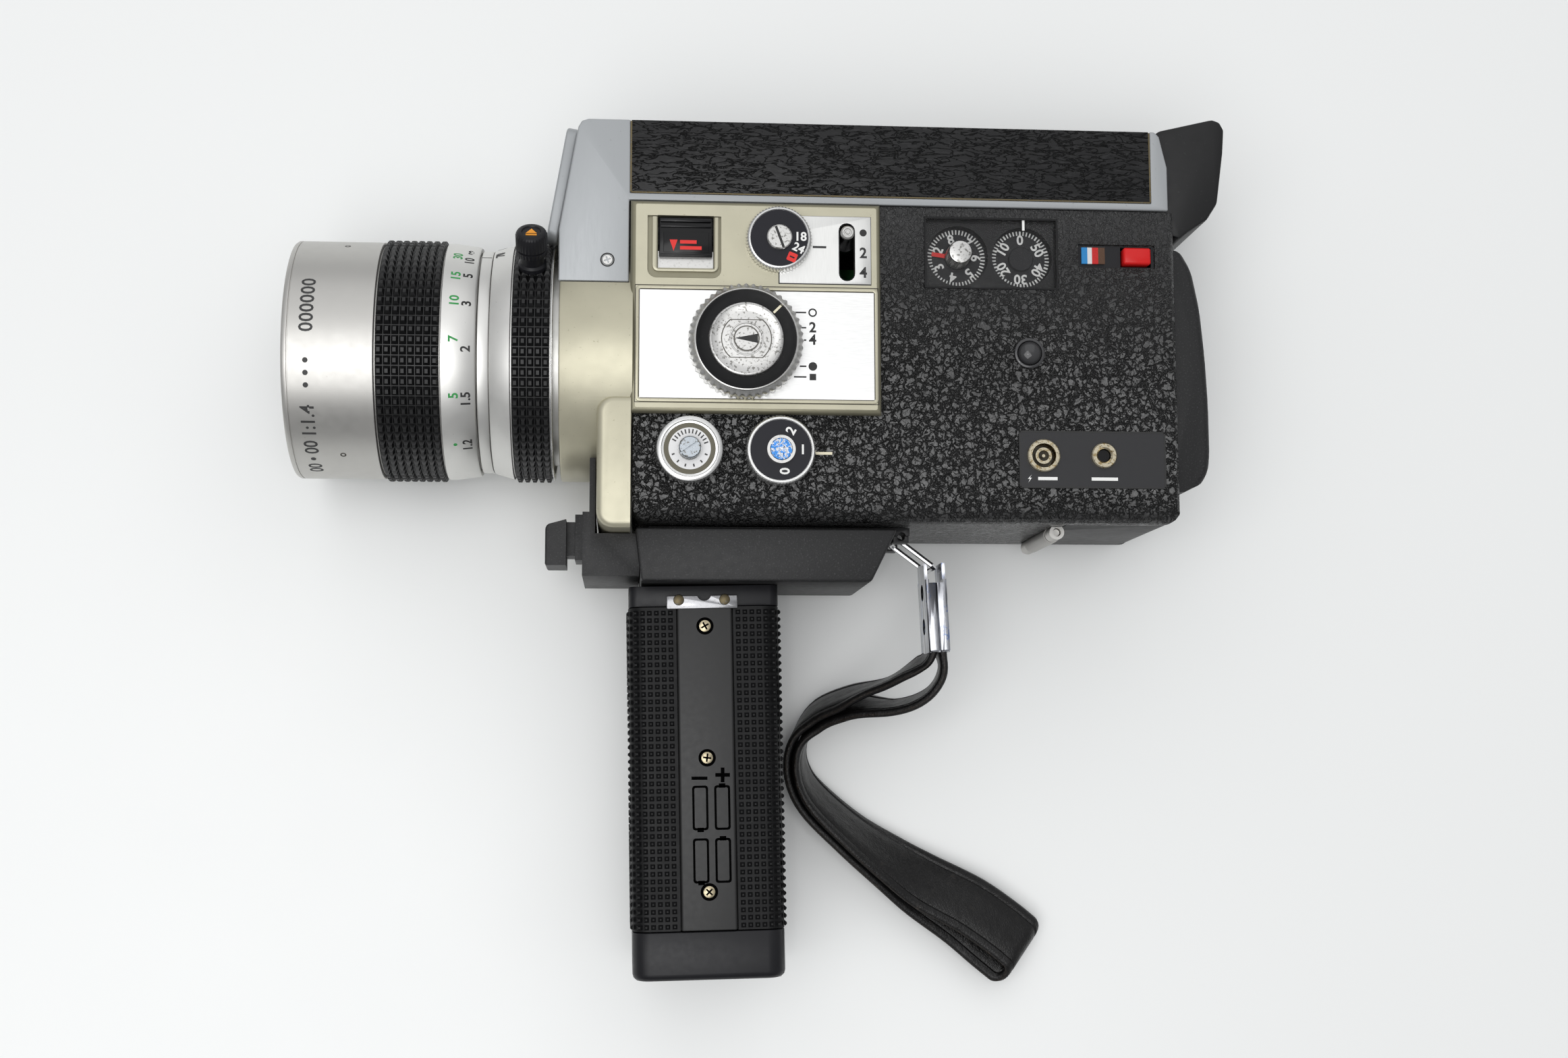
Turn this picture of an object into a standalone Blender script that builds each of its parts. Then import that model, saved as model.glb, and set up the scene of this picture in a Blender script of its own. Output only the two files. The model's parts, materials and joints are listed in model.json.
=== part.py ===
"""Super 8 cine camera with pistol grip, lying on its right side.

Units below are millimetres; MM turns them into metres when a mesh is stored.
+X runs from the lens to the eyepiece, +Y from the grip to the top cover and +Z out of the
camera's left side, so Z = 0 is the flat right cover, and the table that the camera lies on.
"""
import math

import bmesh
import bpy
from mathutils import Matrix, Vector

MM = 0.001
GAP = 0.3            # between pieces that touch
RUN = 0.4            # around pieces that move

# Driving dimensions
AXIS_Y = -8.0        # lens axis
AXIS_Z = 34.7
BARREL_R = 34.0      # a 68 mm front barrel
LENS_FRONT = -162.0
HOUSING_FRONT = -87.0
BODY_FRONT = -66.5
BODY_REAR = 87.0
BODY_BOTTOM = -57.0
BODY_TOP = 32.6      # where the top cover starts
BODY_RIGHT = 4.8
FACE = 63.7          # left face of the casing
WALL = 2.2
COVER_TOP = 56.0
COVER_FACE = 64.4
COVER_WALL = 1.6
PANEL_TOP = 66.6
GRIP_TOP = -80.0
GRIP_END = -168.9
GRIP_LEAN = math.radians(1.1)
CELL_R = 7.25        # AA cell, 14.5 x 50.5 mm
CELL_LENGTH = 50.5
CELL_COLUMNS = (-54.3, -38.5)   # x of the two columns
CARTRIDGE = (73.0, 71.4, 23.8)   # the film cartridge it is built around

# Controls on the left side: (x, y)
SPEED_DIAL = (-26.4, 21.3)
FADE_DIAL = (-35.7, -8.0)
APERTURE = (-51.0, -37.8)
POWER_DIAL = (-25.9, -37.9)
SHUTTER_SLOT = (-7.0, 18.6)
MEMO_DIAL = (25.1, 19.4)
COUNTER = (43.6, 19.3)
BATTERY_BUTTON = (76.0, 19.4)
DOME = (44.7, -9.0)
FLASH_SOCKET = (48.1, -38.2)
REMOTE_SOCKET = (65.3, -38.0)
SHAFT_R = 1.8
LEVER_ANGLE = math.radians(50.0)   # zoom lever, from +Y towards +Z
DOOR_HINGE = (54.0, -58.4)
FOCUS_END = -109.7

# The doubled strap: x, y, thickness of the pair, height of its lower edge, width
STRAP_ROUTE = [
    (21.3, -85.5, 3.6, 28.0, 13.4),
    (21.6, -92.4, 3.6, 28.0, 13.4),
    (19.5, -97.0, 6.4, 26.0, 14.6),
    (10.5, -101.5, 6.6, 20.0, 16.0),
    (-2.0, -105.0, 6.4, 11.0, 17.5),
    (-11.0, -109.8, 6.6, 4.0, 18.6),
    (-15.8, -117.5, 6.8, 0.6, 19.0),
    (-15.6, -126.5, 8.0, 0.2, 19.0),
    (-11.2, -134.6, 10.0, 0.2, 18.6),
    (-0.5, -144.8, 12.0, 0.2, 18.0),
    (11.0, -153.8, 14.0, 0.2, 16.0),
    (21.2, -160.1, 16.0, 0.2, 14.0),
    (34.0, -167.8, 19.0, 0.2, 13.0),
    (43.0, -174.6, 20.5, 0.2, 12.5),
    (51.6, -181.1, 20.0, 0.2, 12.0),
]


def material(name, colour, roughness, metallic=0.0, alpha=1.0):
    made = bpy.data.materials.new(name)
    made.use_nodes = True
    shader = made.node_tree.nodes["Principled BSDF"]
    shader.inputs["Base Color"].default_value = (*colour, 1.0)
    shader.inputs["Roughness"].default_value = roughness
    shader.inputs["Metallic"].default_value = metallic
    shader.inputs["Alpha"].default_value = alpha
    return made


def box(x, y, z, bevel=0.0, segments=2, along=None):
    """A box from (low, high) pairs; along='z' bevels only the edges that run that way."""
    shape = bmesh.new()
    bmesh.ops.create_cube(shape, size=1.0)
    size = Vector((x[1] - x[0], y[1] - y[0], z[1] - z[0]))
    centre = Vector((x[0] + x[1], y[0] + y[1], z[0] + z[1])) / 2
    bmesh.ops.scale(shape, vec=size, verts=shape.verts)
    bmesh.ops.translate(shape, vec=centre, verts=shape.verts)
    if bevel:
        edges = list(shape.edges)
        if along:
            index = "xyz".index(along)
            edges = [e for e in edges if abs((e.verts[0].co - e.verts[1].co)[index]) > 1e-6]
        bevel_edges(shape, edges, bevel, segments)
    return shape


def bevel_edges(shape, edges, width, segments=2):
    bmesh.ops.bevel(shape, geom=edges, offset=width, offset_type="OFFSET", segments=segments,
                    profile=0.5, affect="EDGES", clamp_overlap=True)


def edges_near(shape, test):
    """The edges whose two ends both pass the test."""
    return [e for e in shape.edges if test(e.verts[0].co) and test(e.verts[1].co)]


def prism(outline, z):
    """An outline in X and Y, extruded from z[0] to z[1]."""
    shape = bmesh.new()
    low = [shape.verts.new((px, py, z[0])) for px, py in outline]
    high = [shape.verts.new((px, py, z[1])) for px, py in outline]
    shape.faces.new(low)
    shape.faces.new(high)
    for i in range(len(outline)):
        j = (i + 1) % len(outline)
        shape.faces.new((low[i], low[j], high[j], high[i]))
    bmesh.ops.recalc_face_normals(shape, faces=shape.faces)
    return shape


def turn(profile, direction, centre, segments=32, serration=0.0):
    """A turned solid. Profile points are (distance along the axis, radius), in order;
    a radius of 0 closes an end. Without one the profile is a closed ring's section.
    Serration lowers every other segment of the points marked by a third value."""
    shape = bmesh.new()
    frame = Vector((0, 0, 1)).rotation_difference(Vector(direction)).to_matrix()
    rings = []
    for point in profile:
        along, radius = point[0], point[1]
        if radius == 0:
            rings.append([shape.verts.new(frame @ Vector((0, 0, along)))])
            continue
        ring = []
        for k in range(segments):
            angle = 2 * math.pi * (k + 0.5) / segments
            r = radius - (serration if len(point) > 2 and k % 2 else 0.0)
            spot = Vector((r * math.cos(angle), r * math.sin(angle), along))
            ring.append(shape.verts.new(frame @ spot))
        rings.append(ring)
    pairs = list(zip(rings, rings[1:]))
    if profile[0][1] and profile[-1][1]:
        pairs.append((rings[-1], rings[0]))
    for first, second in pairs:
        for k in range(segments):
            n = (k + 1) % segments
            corners = [first[k % len(first)], first[n % len(first)],
                       second[n % len(second)], second[k % len(second)]]
            shape.faces.new(list(dict.fromkeys(corners)))
    bmesh.ops.translate(shape, vec=Vector(centre), verts=shape.verts)
    bmesh.ops.recalc_face_normals(shape, faces=shape.faces)
    return shape


def rod(start, end, radius, direction, centre, segments=24):
    """A plain cylinder between two places along an axis."""
    return turn([(start, 0), (start, radius), (end, radius), (end, 0)], direction, centre, segments)


def lens_ring(profile, segments=36):
    """A ring about the lens axis; the profile's first values are X."""
    return turn(profile, (1, 0, 0), (0, AXIS_Y, AXIS_Z), segments)


def dial(place, profile, segments=32, serration=0.0):
    """A turned control on the left side; the profile's first values are Z."""
    return turn(profile, (0, 0, 1), (place[0], place[1], 0), segments, serration)


def rotate(shape, angle, axis, centre):
    bmesh.ops.rotate(shape, cent=Vector(centre), matrix=Matrix.Rotation(angle, 3, axis),
                     verts=shape.verts)
    return shape


def store(name, shape, pivot=(0, 0, 0)):
    """Turn a shape in millimetres into an object in metres whose origin is at the pivot."""
    bmesh.ops.translate(shape, vec=-Vector(pivot), verts=shape.verts)
    bmesh.ops.scale(shape, vec=(MM, MM, MM), verts=shape.verts)
    mesh = bpy.data.meshes.new(name)
    shape.to_mesh(mesh)
    shape.free()
    made = bpy.data.objects.new(name, mesh)
    made.location = Vector(pivot) * MM
    bpy.context.scene.collection.objects.link(made)
    return made


def piece(name, shape, look, pivot=(0, 0, 0), cut=(), add=()):
    """A sub-part: its shape, with tools cut from it and others joined to it."""
    made = store(name, shape, pivot)
    made.data.materials.append(look)
    for operation, tools in (("UNION", add), ("DIFFERENCE", cut)):
        for number, tool in enumerate(tools):
            helper = store("%s_%s_%d" % (name, operation.lower(), number), tool)
            helper.hide_render = True
            helper.display_type = "WIRE"
            step = made.modifiers.new("%s %d" % (operation, number), "BOOLEAN")
            step.operation = operation
            step.object = helper
            step.solver = "EXACT"
    made.data.shade_smooth()
    made.data.set_sharp_from_angle(angle=math.radians(35))
    return made


def shaft_bores():
    """Holes through the left wall for the controls' shafts."""
    bores = [rod(50, 75, SHAFT_R + RUN, (0, 0, 1), (*place, 0), 20)
             for place in (SPEED_DIAL, FADE_DIAL, APERTURE, POWER_DIAL)]
    x, y = SHUTTER_SLOT
    bores.append(box((x - 2.4, x + 2.4), (y - 8.3, y + 8.3), (50, 75)))
    return bores


# ---- Casing --------------------------------------------------------------------------------

def door_outline(grow):
    """The film door's path in X and Y, from its hinge under the body to its top edge."""
    x, y = DOOR_HINGE
    centre = (BODY_REAR - 4.5, BODY_BOTTOM + 4.5)

    def corner(radius):
        turns = [math.radians(a) for a in (-90, -67.5, -45, -22.5, 0)]
        return [(centre[0] + radius * math.cos(t), centre[1] + radius * math.sin(t)) for t in turns]

    return ([(x + 1.6 - grow, BODY_BOTTOM - grow), (x + 1.6 - grow, BODY_BOTTOM + 1.9 + grow)]
            + corner(2.6 - grow)
            + [(BODY_REAR - 1.9 - grow, 23.5 + grow), (BODY_REAR + grow, 23.5 + grow)]
            + corner(4.5 + grow)[::-1])


def left_casing(look):
    shape = box((BODY_FRONT, BODY_REAR), (BODY_BOTTOM, BODY_TOP), (BODY_RIGHT, FACE))
    bevel_edges(shape, edges_near(shape, lambda c: c.y < BODY_BOTTOM + 1), 4.0, 4)
    rear = edges_near(shape, lambda c: c.x > BODY_REAR - 0.1 and c.z > FACE - 0.1)
    bevel_edges(shape, rear, 1.0, 1)
    hollow = box((BODY_FRONT + WALL, BODY_REAR - WALL), (BODY_BOTTOM + WALL, BODY_TOP - WALL),
                 (BODY_RIGHT - 5, FACE - WALL))
    well = box((15.1, 53.4), (9.3, 30.0), (61.0, 70))
    x, y = DOOR_HINGE
    cut = [hollow, well,
           prism(door_outline(RUN), (9.6, 58.4)),
           rod(11.5, 53.5, 2.1 + RUN, (0, 0, 1), (x, y, 0), 20),
           rod(BODY_FRONT - 5, BODY_FRONT + 5, 23.0 + GAP, (1, 0, 0), (0, AXIS_Y, AXIS_Z), 40),
           box((59.3, 81.4), (16.1, 22.8), (62.7, 70)),
           box((71.6, 80.4), (16.6, 22.2), (50, 70)),
           rod(50, 75, 3.5 + RUN, (0, 0, 1), (*DOME, 0), 20),
           rod(50, 75, 4.3, (0, 0, 1), (*FLASH_SOCKET, 0), 24),
           rod(50, 75, 3.2, (0, 0, 1), (*REMOTE_SOCKET, 0), 24),
           rod(50, 75, 9.0, (0, 0, 1), (*MEMO_DIAL, 0), 24),
           rod(50, 75, 9.0, (0, 0, 1), (*COUNTER, 0), 24)]
    return piece("left_casing", shape, look, cut=cut + shaft_bores())


def right_cover(look):
    shape = box((BODY_FRONT + 3, BODY_REAR - 3), (BODY_BOTTOM + 3, BODY_TOP - 1), (0, BODY_RIGHT - GAP))
    edges = edges_near(shape, lambda c: c.z < 0.1)
    bevel_edges(shape, edges, 2.0, 2)
    return piece("right_cover", shape, look)


def front_housing(look):
    """The painted front casting: a drum around the lens and a rounded post beside the trigger."""
    drum = lens_ring([(HOUSING_FRONT, 31.4), (HOUSING_FRONT, BARREL_R + 0.3),
                      (BODY_FRONT - GAP, BARREL_R + 0.3), (BODY_FRONT - GAP, 31.4)], 48)
    post_top = PANEL_TOP - 0.4
    post = box((-76.4, -67.1), (-59.4, -23.4), (BODY_RIGHT, post_top))
    corners = [e for e in edges_near(post, lambda c: c.x < -76)
               if abs(e.verts[0].co.z - e.verts[1].co.z) > 1]
    bevel_edges(post, corners, 4.6, 4)
    rim = [e for e in edges_near(post, lambda c: c.z > post_top - 0.1)
           if min(v.co.x for v in e.verts) < -67.5]
    bevel_edges(post, rim, 1.8, 2)
    inside = rod(HOUSING_FRONT - 5, BODY_FRONT + 5, 31.4, (1, 0, 0), (0, AXIS_Y, AXIS_Z), 48)
    sides = [box((-90, -60), (9.2, 40), (COVER_FACE - COVER_WALL - GAP, 90)),
             box((-90, -60), (9.2, 40), (-10, BODY_RIGHT + COVER_WALL + GAP))]
    return piece("front_housing", drum, look, add=[post], cut=[inside] + sides)


def cover_outline(inset, foot):
    """Side view of the top cover: slanted front, rounded top corners, leaning rear end.
    The foot is the outline's lower side, from the rear end to the front."""
    front = [(-87.4, 24.0), (-82.3, 53.6), (-81.3, 55.4), (-79.4, COVER_TOP)]
    rear = [(81.9, COVER_TOP), (83.3, 54.6), (85.4, 45.5)]
    shifted = [(px + inset, min(py, COVER_TOP - inset)) for px, py in front]
    shifted += [(px - inset, min(py, COVER_TOP - inset)) for px, py in rear]
    return shifted + foot


def top_cover(look):
    """A shell that is open below, with a flap down each side of the lens housing."""
    inner = (BODY_RIGHT + COVER_WALL, COVER_FACE - COVER_WALL)
    bottom = BODY_TOP + GAP
    foot = [(85.4, bottom), (-67.9, bottom), (-67.9, 9.5), (-87.4, 9.5)]
    shell = prism(cover_outline(0.0, foot), (BODY_RIGHT, COVER_FACE))
    hollow = prism(cover_outline(COVER_WALL, [(84.7, -20.0), (-85.8, -20.0)]), inner)
    opening = box((-95, -60), (-25, 27.2), inner)
    inlay = [box((-67.7, 80.5), (34.9, 60), (COVER_FACE - 0.8, 90)),
             box((-67.7, 80.5), (34.9, 60), (-10, BODY_RIGHT + 0.8)),
             box((-67.7, 80.5), (COVER_TOP - 0.8, 90), (-10, 90))]
    eyepiece = rod(80, 95, 9.4, (1, 0, 0), (0, 45.0, AXIS_Z), 32)
    return piece("top_cover", shell, look, cut=[hollow, opening, eyepiece] + inlay)


def leatherette(look):
    """One skin over both sides and the top of the cover."""
    skin = box((-67.4, 80.2), (35.2, COVER_TOP), (BODY_RIGHT, COVER_FACE), 0.25, 1, "x")
    core = box((-70, 90), (20, COVER_TOP - 0.5), (BODY_RIGHT + 0.5, COVER_FACE - 0.5))
    return piece("leatherette", skin, look, cut=[core])


def slanted(x, y, z, bevel):
    """A plate parallel to the cover's leaning front, given in the front's own directions."""
    plate = box(x, y, z, bevel, 2, "x")
    return rotate(plate, -math.atan2(5.1, 29.6), "Z", (-87.4, 24.0, 0))


def front_plate(look):
    """The plate on the cover's leaning front, scooped out over the zoom ring."""
    plate = slanted((-89.7, -87.8), (22.0, 55.2), (12.0, 57.4), 3.0)
    scoop = rod(-95, -80, BARREL_R + 1.2, (1, 0, 0), (0, AXIS_Y, AXIS_Z), 40)
    return piece("front_plate", plate, look, cut=[scoop])


def eyecup(look):
    outline = [(87.4, 27.4), (90.6, 26.4), (92.4, 28.0), (98.6, 32.2), (101.8, 37.2),
               (103.9, 52.4), (104.4, 59.2), (103.2, 61.5), (101.0, 62.3), (84.9, 58.4), (83.4, 56.9),
               (85.7, 45.8), (85.7, 33.2), (87.4, 33.0)]
    shape = prism(outline, (11.0, 58.4))
    outer = edges_near(shape, lambda c: c.z > 58 or c.z < 12)
    bevel_edges(shape, outer, 1.2, 2)
    cup = prism([(92.5, 36.5), (110, 33.0), (110, 64.0), (92.5, 54.0)], (21.0, 48.4))
    bore = rod(80, 99, 10.9, (1, 0, 0), (0, 45.0, AXIS_Z), 32)
    return piece("eyecup", shape, look, cut=[cup, bore])


def diopter_ring(look):
    profile = [(80.5, 7.6), (80.5, 9.0), (87.0, 9.0), (87.0, 10.4), (91.8, 10.4), (91.8, 7.6)]
    ring = turn(profile, (1, 0, 0), (0, 45.0, AXIS_Z))
    return piece("diopter_ring", ring, look, pivot=(87.0, 45.0, AXIS_Z))


# ---- Control panel ---------------------------------------------------------------------------

def control_panel(look):
    shape = box((-66.8, 2.4), (-27.5, 32.4), (FACE + GAP, PANEL_TOP))
    rim = edges_near(shape, lambda c: c.z > PANEL_TOP - 0.1)
    bevel_edges(shape, rim, 1.6, 2)
    step = box((-62.7, -42.5), (10.3, 28.4), (PANEL_TOP - 1.0, 90), 2.0, 3, "z")
    well = box((-60.0, -44.4), (13.3, 28.0), (50, 90))
    plate = box((-65.3, 0.7), (-23.9, 7.3), (PANEL_TOP - 0.7, 90))
    return piece("control_panel", shape, look, cut=[step, well, plate] + shaft_bores())


def white_plate(look):
    shape = box((-65.0, 0.4), (-23.6, 7.0), (PANEL_TOP - 0.4, PANEL_TOP))
    bore = rod(60, 70, SHAFT_R + RUN, (0, 0, 1), (*FADE_DIAL, 0), 20)
    return piece("white_plate", shape, look, cut=[bore])


def slow_motion_key(look):
    shape = box((-59.6, -44.8), (16.4, 27.6), (FACE + 0.6, PANEL_TOP - 0.3), 0.5, 2)
    return piece("slow_motion_key", shape, look, pivot=(-52.2, 22.0, FACE))


def speed_dial(look):
    profile = [(58.0, 0), (58.0, SHAFT_R), (66.9, SHAFT_R), (66.9, 9.2), (69.6, 9.2), (70.2, 8.6),
               (70.2, 3.7), (70.8, 3.5), (70.8, 0)]
    return piece("speed_dial", dial(SPEED_DIAL, profile, 32), look, pivot=(*SPEED_DIAL, 66.9))


def shutter_lever(look):
    x, y = SHUTTER_SLOT[0] - 0.2, SHUTTER_SLOT[1] + 4.9
    profile = [(58.6, 0), (58.6, 3.4), (60.6, 3.4), (60.6, 1.7), (67.0, 1.7), (67.0, 2.2), (69.2, 2.2),
               (69.6, 1.8), (69.6, 0)]
    return piece("shutter_lever", dial((x, y), profile, 20), look, pivot=(x, y, FACE))


def fade_dial(look):
    profile = [(58.0, 0), (58.0, SHAFT_R), (66.95, SHAFT_R), (66.95, 15.9, 1), (71.6, 15.9, 1),
               (72.0, 14.1), (73.0, 13.6), (73.0, 10.8), (71.0, 10.6), (71.0, 0)]
    return piece("fade_dial", dial(FADE_DIAL, profile, 48, 0.8), look, pivot=(*FADE_DIAL, 66.9))


def fade_knob(look):
    profile = [(71.3, 0), (71.3, 10.3), (72.7, 10.3), (73.2, 9.8), (73.2, 4.4), (73.6, 4.2), (73.6, 0)]
    return piece("fade_knob", dial(FADE_DIAL, profile, 32), look, pivot=(*FADE_DIAL, 71.3))


def aperture_spindle(look):
    profile = [(56.0, 0), (56.0, 3.0), (58.0, 3.0), (58.0, SHAFT_R), (68.9, SHAFT_R), (68.9, 3.1),
               (70.6, 3.1), (71.0, 2.7), (71.0, 0)]
    return piece("aperture_spindle", dial(APERTURE, profile, 24), look, pivot=(*APERTURE, FACE))


def aperture_knob(look):
    bore = SHAFT_R + GAP
    profile = [(64.1, bore), (64.1, 9.4), (67.6, 9.4), (68.2, 8.8), (68.6, 7.4), (68.6, bore)]
    return piece("aperture_knob", dial(APERTURE, profile, 32), look, pivot=(*APERTURE, 64.1))


def power_dial(look):
    profile = [(58.0, 0), (58.0, SHAFT_R), (64.1, SHAFT_R), (64.1, 9.75), (67.6, 9.75), (68.2, 9.1),
               (68.2, 3.9), (69.8, 3.7), (69.8, 0)]
    return piece("power_dial", dial(POWER_DIAL, profile, 32), look, pivot=(*POWER_DIAL, 64.1))


def counter_window(look):
    shape = box((15.4, 53.1), (9.6, 29.7), (61.3, 63.4))
    return piece("counter_window", shape, look, cut=[rod(55, 70, 3.9, (0, 0, 1), (*MEMO_DIAL, 0), 20)])


def counter_disc(look):
    profile = [(50.0, 0), (50.0, 1.5), (57.4, 1.5), (57.4, 8.4), (58.4, 8.4), (58.4, 3.4),
               (59.4, 3.2), (59.4, 0)]
    return piece("counter_disc", dial(COUNTER, profile), look, pivot=(*COUNTER, 57.4))


def memo_knob(look):
    profile = [(56.6, 0), (56.6, 1.4), (59.0, 1.4), (59.0, 3.5), (65.5, 3.5), (66.0, 3.0), (66.0, 0)]
    return piece("memo_knob", dial(MEMO_DIAL, profile, 24), look, pivot=(*MEMO_DIAL, 58.4))


def battery_check_button(look):
    x, y = BATTERY_BUTTON
    shape = box((x - 3.95, x + 3.95), (y - 2.4, y + 2.4), (59.0, 64.9), 0.5, 2)
    return piece("battery_check_button", shape, look, pivot=(x, y, FACE))


def dome_button(look):
    profile = [(59.0, 0), (59.0, 3.5), (64.0, 3.5), (65.2, 2.9), (66.0, 1.7), (66.2, 0)]
    return piece("dome_button", dial(DOME, profile, 24), look, pivot=(*DOME, FACE))


def socket(name, place, outer, bore, look):
    """A threaded socket that drops into the left wall, open at its mouth."""
    profile = [(56.0, 0), (56.0, outer - 1.0), (FACE + 0.1, outer - 1.0), (FACE + 0.1, outer),
               (64.5, outer), (64.9, outer - 0.4), (64.9, bore), (58.0, bore), (58.0, 0)]
    return piece(name, dial(place, profile, 24), look)


# ---- Lens ------------------------------------------------------------------------------------

def lens_barrel(look):
    profile = [(LENS_FRONT, 31.2), (LENS_FRONT, 33.2), (LENS_FRONT + 0.8, BARREL_R),
               (-137.0, BARREL_R), (-137.0, 33.0), (FOCUS_END, 30.8), (FOCUS_END, 29.4),
               (-147.0, 29.4), (-147.0, 31.2)]
    return piece("lens_barrel", lens_ring(profile), look, pivot=(FOCUS_END, AXIS_Y, AXIS_Z))


def focus_grip(look):
    profile = [(-136.7, 33.35), (-136.7, 34.6), (-119.5, 34.6), (-119.5, 32.9)]
    return piece("focus_grip", lens_ring(profile), look, pivot=(FOCUS_END, AXIS_Y, AXIS_Z))


def distance_scale_ring(look):
    profile = [(-119.2, 32.2), (-119.2, 34.0), (-117.0, 34.0), (-110.6, 33.1), (-109.8, 32.4),
               (-109.8, 31.2)]
    return piece("distance_scale_ring", lens_ring(profile), look, pivot=(FOCUS_END, AXIS_Y, AXIS_Z))


def front_cell(look):
    profile = [(-156.0, 27.4), (-156.0, 30.7), (-147.6, 30.7),
               (-147.6, 26.0), (-149.0, 26.0), (-149.0, 27.4)]
    return piece("front_cell", lens_ring(profile), look, pivot=(-150.0, AXIS_Y, AXIS_Z))


def front_element(look):
    profile = [(-157.6, 0), (-156.6, 14.0), (-153.6, 27.1), (-149.3, 27.1), (-150.6, 14.0), (-151.2, 0)]
    return piece("front_element", lens_ring(profile, 40), look, pivot=(-150.0, AXIS_Y, AXIS_Z))


def lens_tube(look):
    """The fixed tube that carries the rings: index ring in front, flange in the housing and a
    narrower tail into the body."""
    flange, back = BODY_FRONT - 3.0, BODY_FRONT + 8.0
    profile = [(-109.4, 26.0), (-109.4, 32.0), (-106.3, 32.0), (-106.3, 29.6), (flange - 3, 29.6),
               (flange - 3, 31.1), (flange, 31.1), (flange, 23.0), (back, 23.0), (back, 14.5),
               (back - 2, 14.5), (back - 2, 21.0), (flange - 2, 21.0), (flange - 2, 26.0)]
    return piece("lens_tube", lens_ring(profile), look)


def zoom_ring(look):
    profile = [(-106.0, 30.0), (-106.0, 32.2), (-100.4, 33.8), (-100.2, 33.0), (-89.2, 33.0),
               (-89.2, 34.5), (-88.5, 34.5), (-88.5, 30.0)]
    return piece("zoom_ring", lens_ring(profile), look, pivot=(-95.0, AXIS_Y, AXIS_Z))


def zoom_grip(look):
    profile = [(-99.9, 33.3), (-99.9, 34.6), (-89.5, 34.6), (-89.5, 33.3)]
    return piece("zoom_grip", lens_ring(profile), look, pivot=(-95.0, AXIS_Y, AXIS_Z))


def lever_direction():
    return (0, math.cos(LEVER_ANGLE), math.sin(LEVER_ANGLE))


def zoom_lever(look):
    profile = [(34.9, 0), (34.9, 3.2), (39.4, 3.2), (39.4, 4.4), (45.4, 4.4), (46.2, 3.6), (46.2, 0)]
    shape = turn(profile, lever_direction(), (-94.7, AXIS_Y, AXIS_Z), 24)
    return piece("zoom_lever", shape, look, pivot=(-95.0, AXIS_Y, AXIS_Z))


def glass_disc(name, x, radius, thickness, look):
    half = thickness / 2
    profile = [(x - half, 0), (x - half * 0.5, radius), (x + half * 0.5, radius), (x + half, 0)]
    return piece(name, lens_ring(profile, 32), look, pivot=(x, AXIS_Y, AXIS_Z))


def beam_splitter(look):
    shape = box((-52.0, -42.0), (AXIS_Y - 5, AXIS_Y + 5), (AXIS_Z - 5, AXIS_Z + 5))
    return piece("beam_splitter", shape, look)


def iris_vane(look):
    """One of the exposure control's swinging vanes, with its tapering aperture notch."""
    shape = prism([(0, 0), (0.6, 0), (0.6, 24.0), (0, 24.0)], (-8.0, 8.0))
    bmesh.ops.translate(shape, vec=(-38.0, AXIS_Y - 20.0, AXIS_Z), verts=shape.verts)
    notch = prism([(-45, AXIS_Y - 4.5), (-30, AXIS_Y - 4.5), (-30, AXIS_Y + 3), (-45, AXIS_Y + 3)],
                  (AXIS_Z - 3.5, AXIS_Z + 3.5))
    return piece("iris_vane", shape, look, pivot=(-37.7, AXIS_Y - 18.0, AXIS_Z), cut=[notch])


# ---- Inside the body ---------------------------------------------------------------------------

def film_cartridge(look):
    x, y, z = CARTRIDGE
    left = BODY_REAR - 1.9 - 1.2 - x
    shape = box((left, left + x), (22.0 - y, 22.0), (AXIS_Z - z / 2, AXIS_Z + z / 2), 1.5, 2)
    gate = box((left - 5, left + 2.5), (AXIS_Y - 7, AXIS_Y + 7), (AXIS_Z - 6, AXIS_Z + 6))
    core = rod(5, AXIS_Z - z / 2 + 6, 3.6, (0, 0, 1), (58.0, -13.6, 0), 20)
    return piece("film_cartridge", shape, look, cut=[gate, core])


def film_gate(look):
    shape = box((8.2, 10.0), (AXIS_Y - 14, AXIS_Y + 12), (AXIS_Z - 9, AXIS_Z + 9), 1.0, 2, "x")
    aperture = box((0, 20), (AXIS_Y - 2.1, AXIS_Y + 2.1), (AXIS_Z - 2.9, AXIS_Z + 2.9))
    return piece("film_gate", shape, look, cut=[aperture])


def shutter_disc(look):
    """The half-moon shutter on the motor's shaft, clear of the gate."""
    x, y, z = 5.6, AXIS_Y - 19.0, AXIS_Z
    disc = turn([(4.9, 0), (4.9, 22.5), (5.5, 22.5), (5.5, 0)], (1, 0, 0), (0, y, z), 40)
    hub = rod(-3.5, 7.2, 2.2, (1, 0, 0), (0, y, z), 20)
    sector = box((4.0, 5.6), (y + 3.0, y + 30), (z - 30, z + 30))
    return piece("shutter_disc", disc, look, pivot=(x, y, z), add=[hub], cut=[sector])


def motor(look):
    profile = [(-34.0, 0), (-34.0, 11.5), (-5.0, 11.5), (-5.0, 0)]
    return piece("motor", turn(profile, (1, 0, 0), (0, AXIS_Y - 19.0, AXIS_Z), 28), look)


def circuit_board(look):
    shape = box((-52, 40), (-50, 28), (8.0, 9.6))
    return piece("circuit_board", shape, look)


def take_up_spindle(look):
    profile = [(10.6, 0), (10.6, 8.0), (13.0, 8.0), (13.0, 3.0), (27.0, 3.0), (27.6, 2.4), (27.6, 0)]
    return piece("take_up_spindle", dial((58.0, -13.6), profile, 20), look, pivot=(58.0, -13.6, 12.0))


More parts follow.
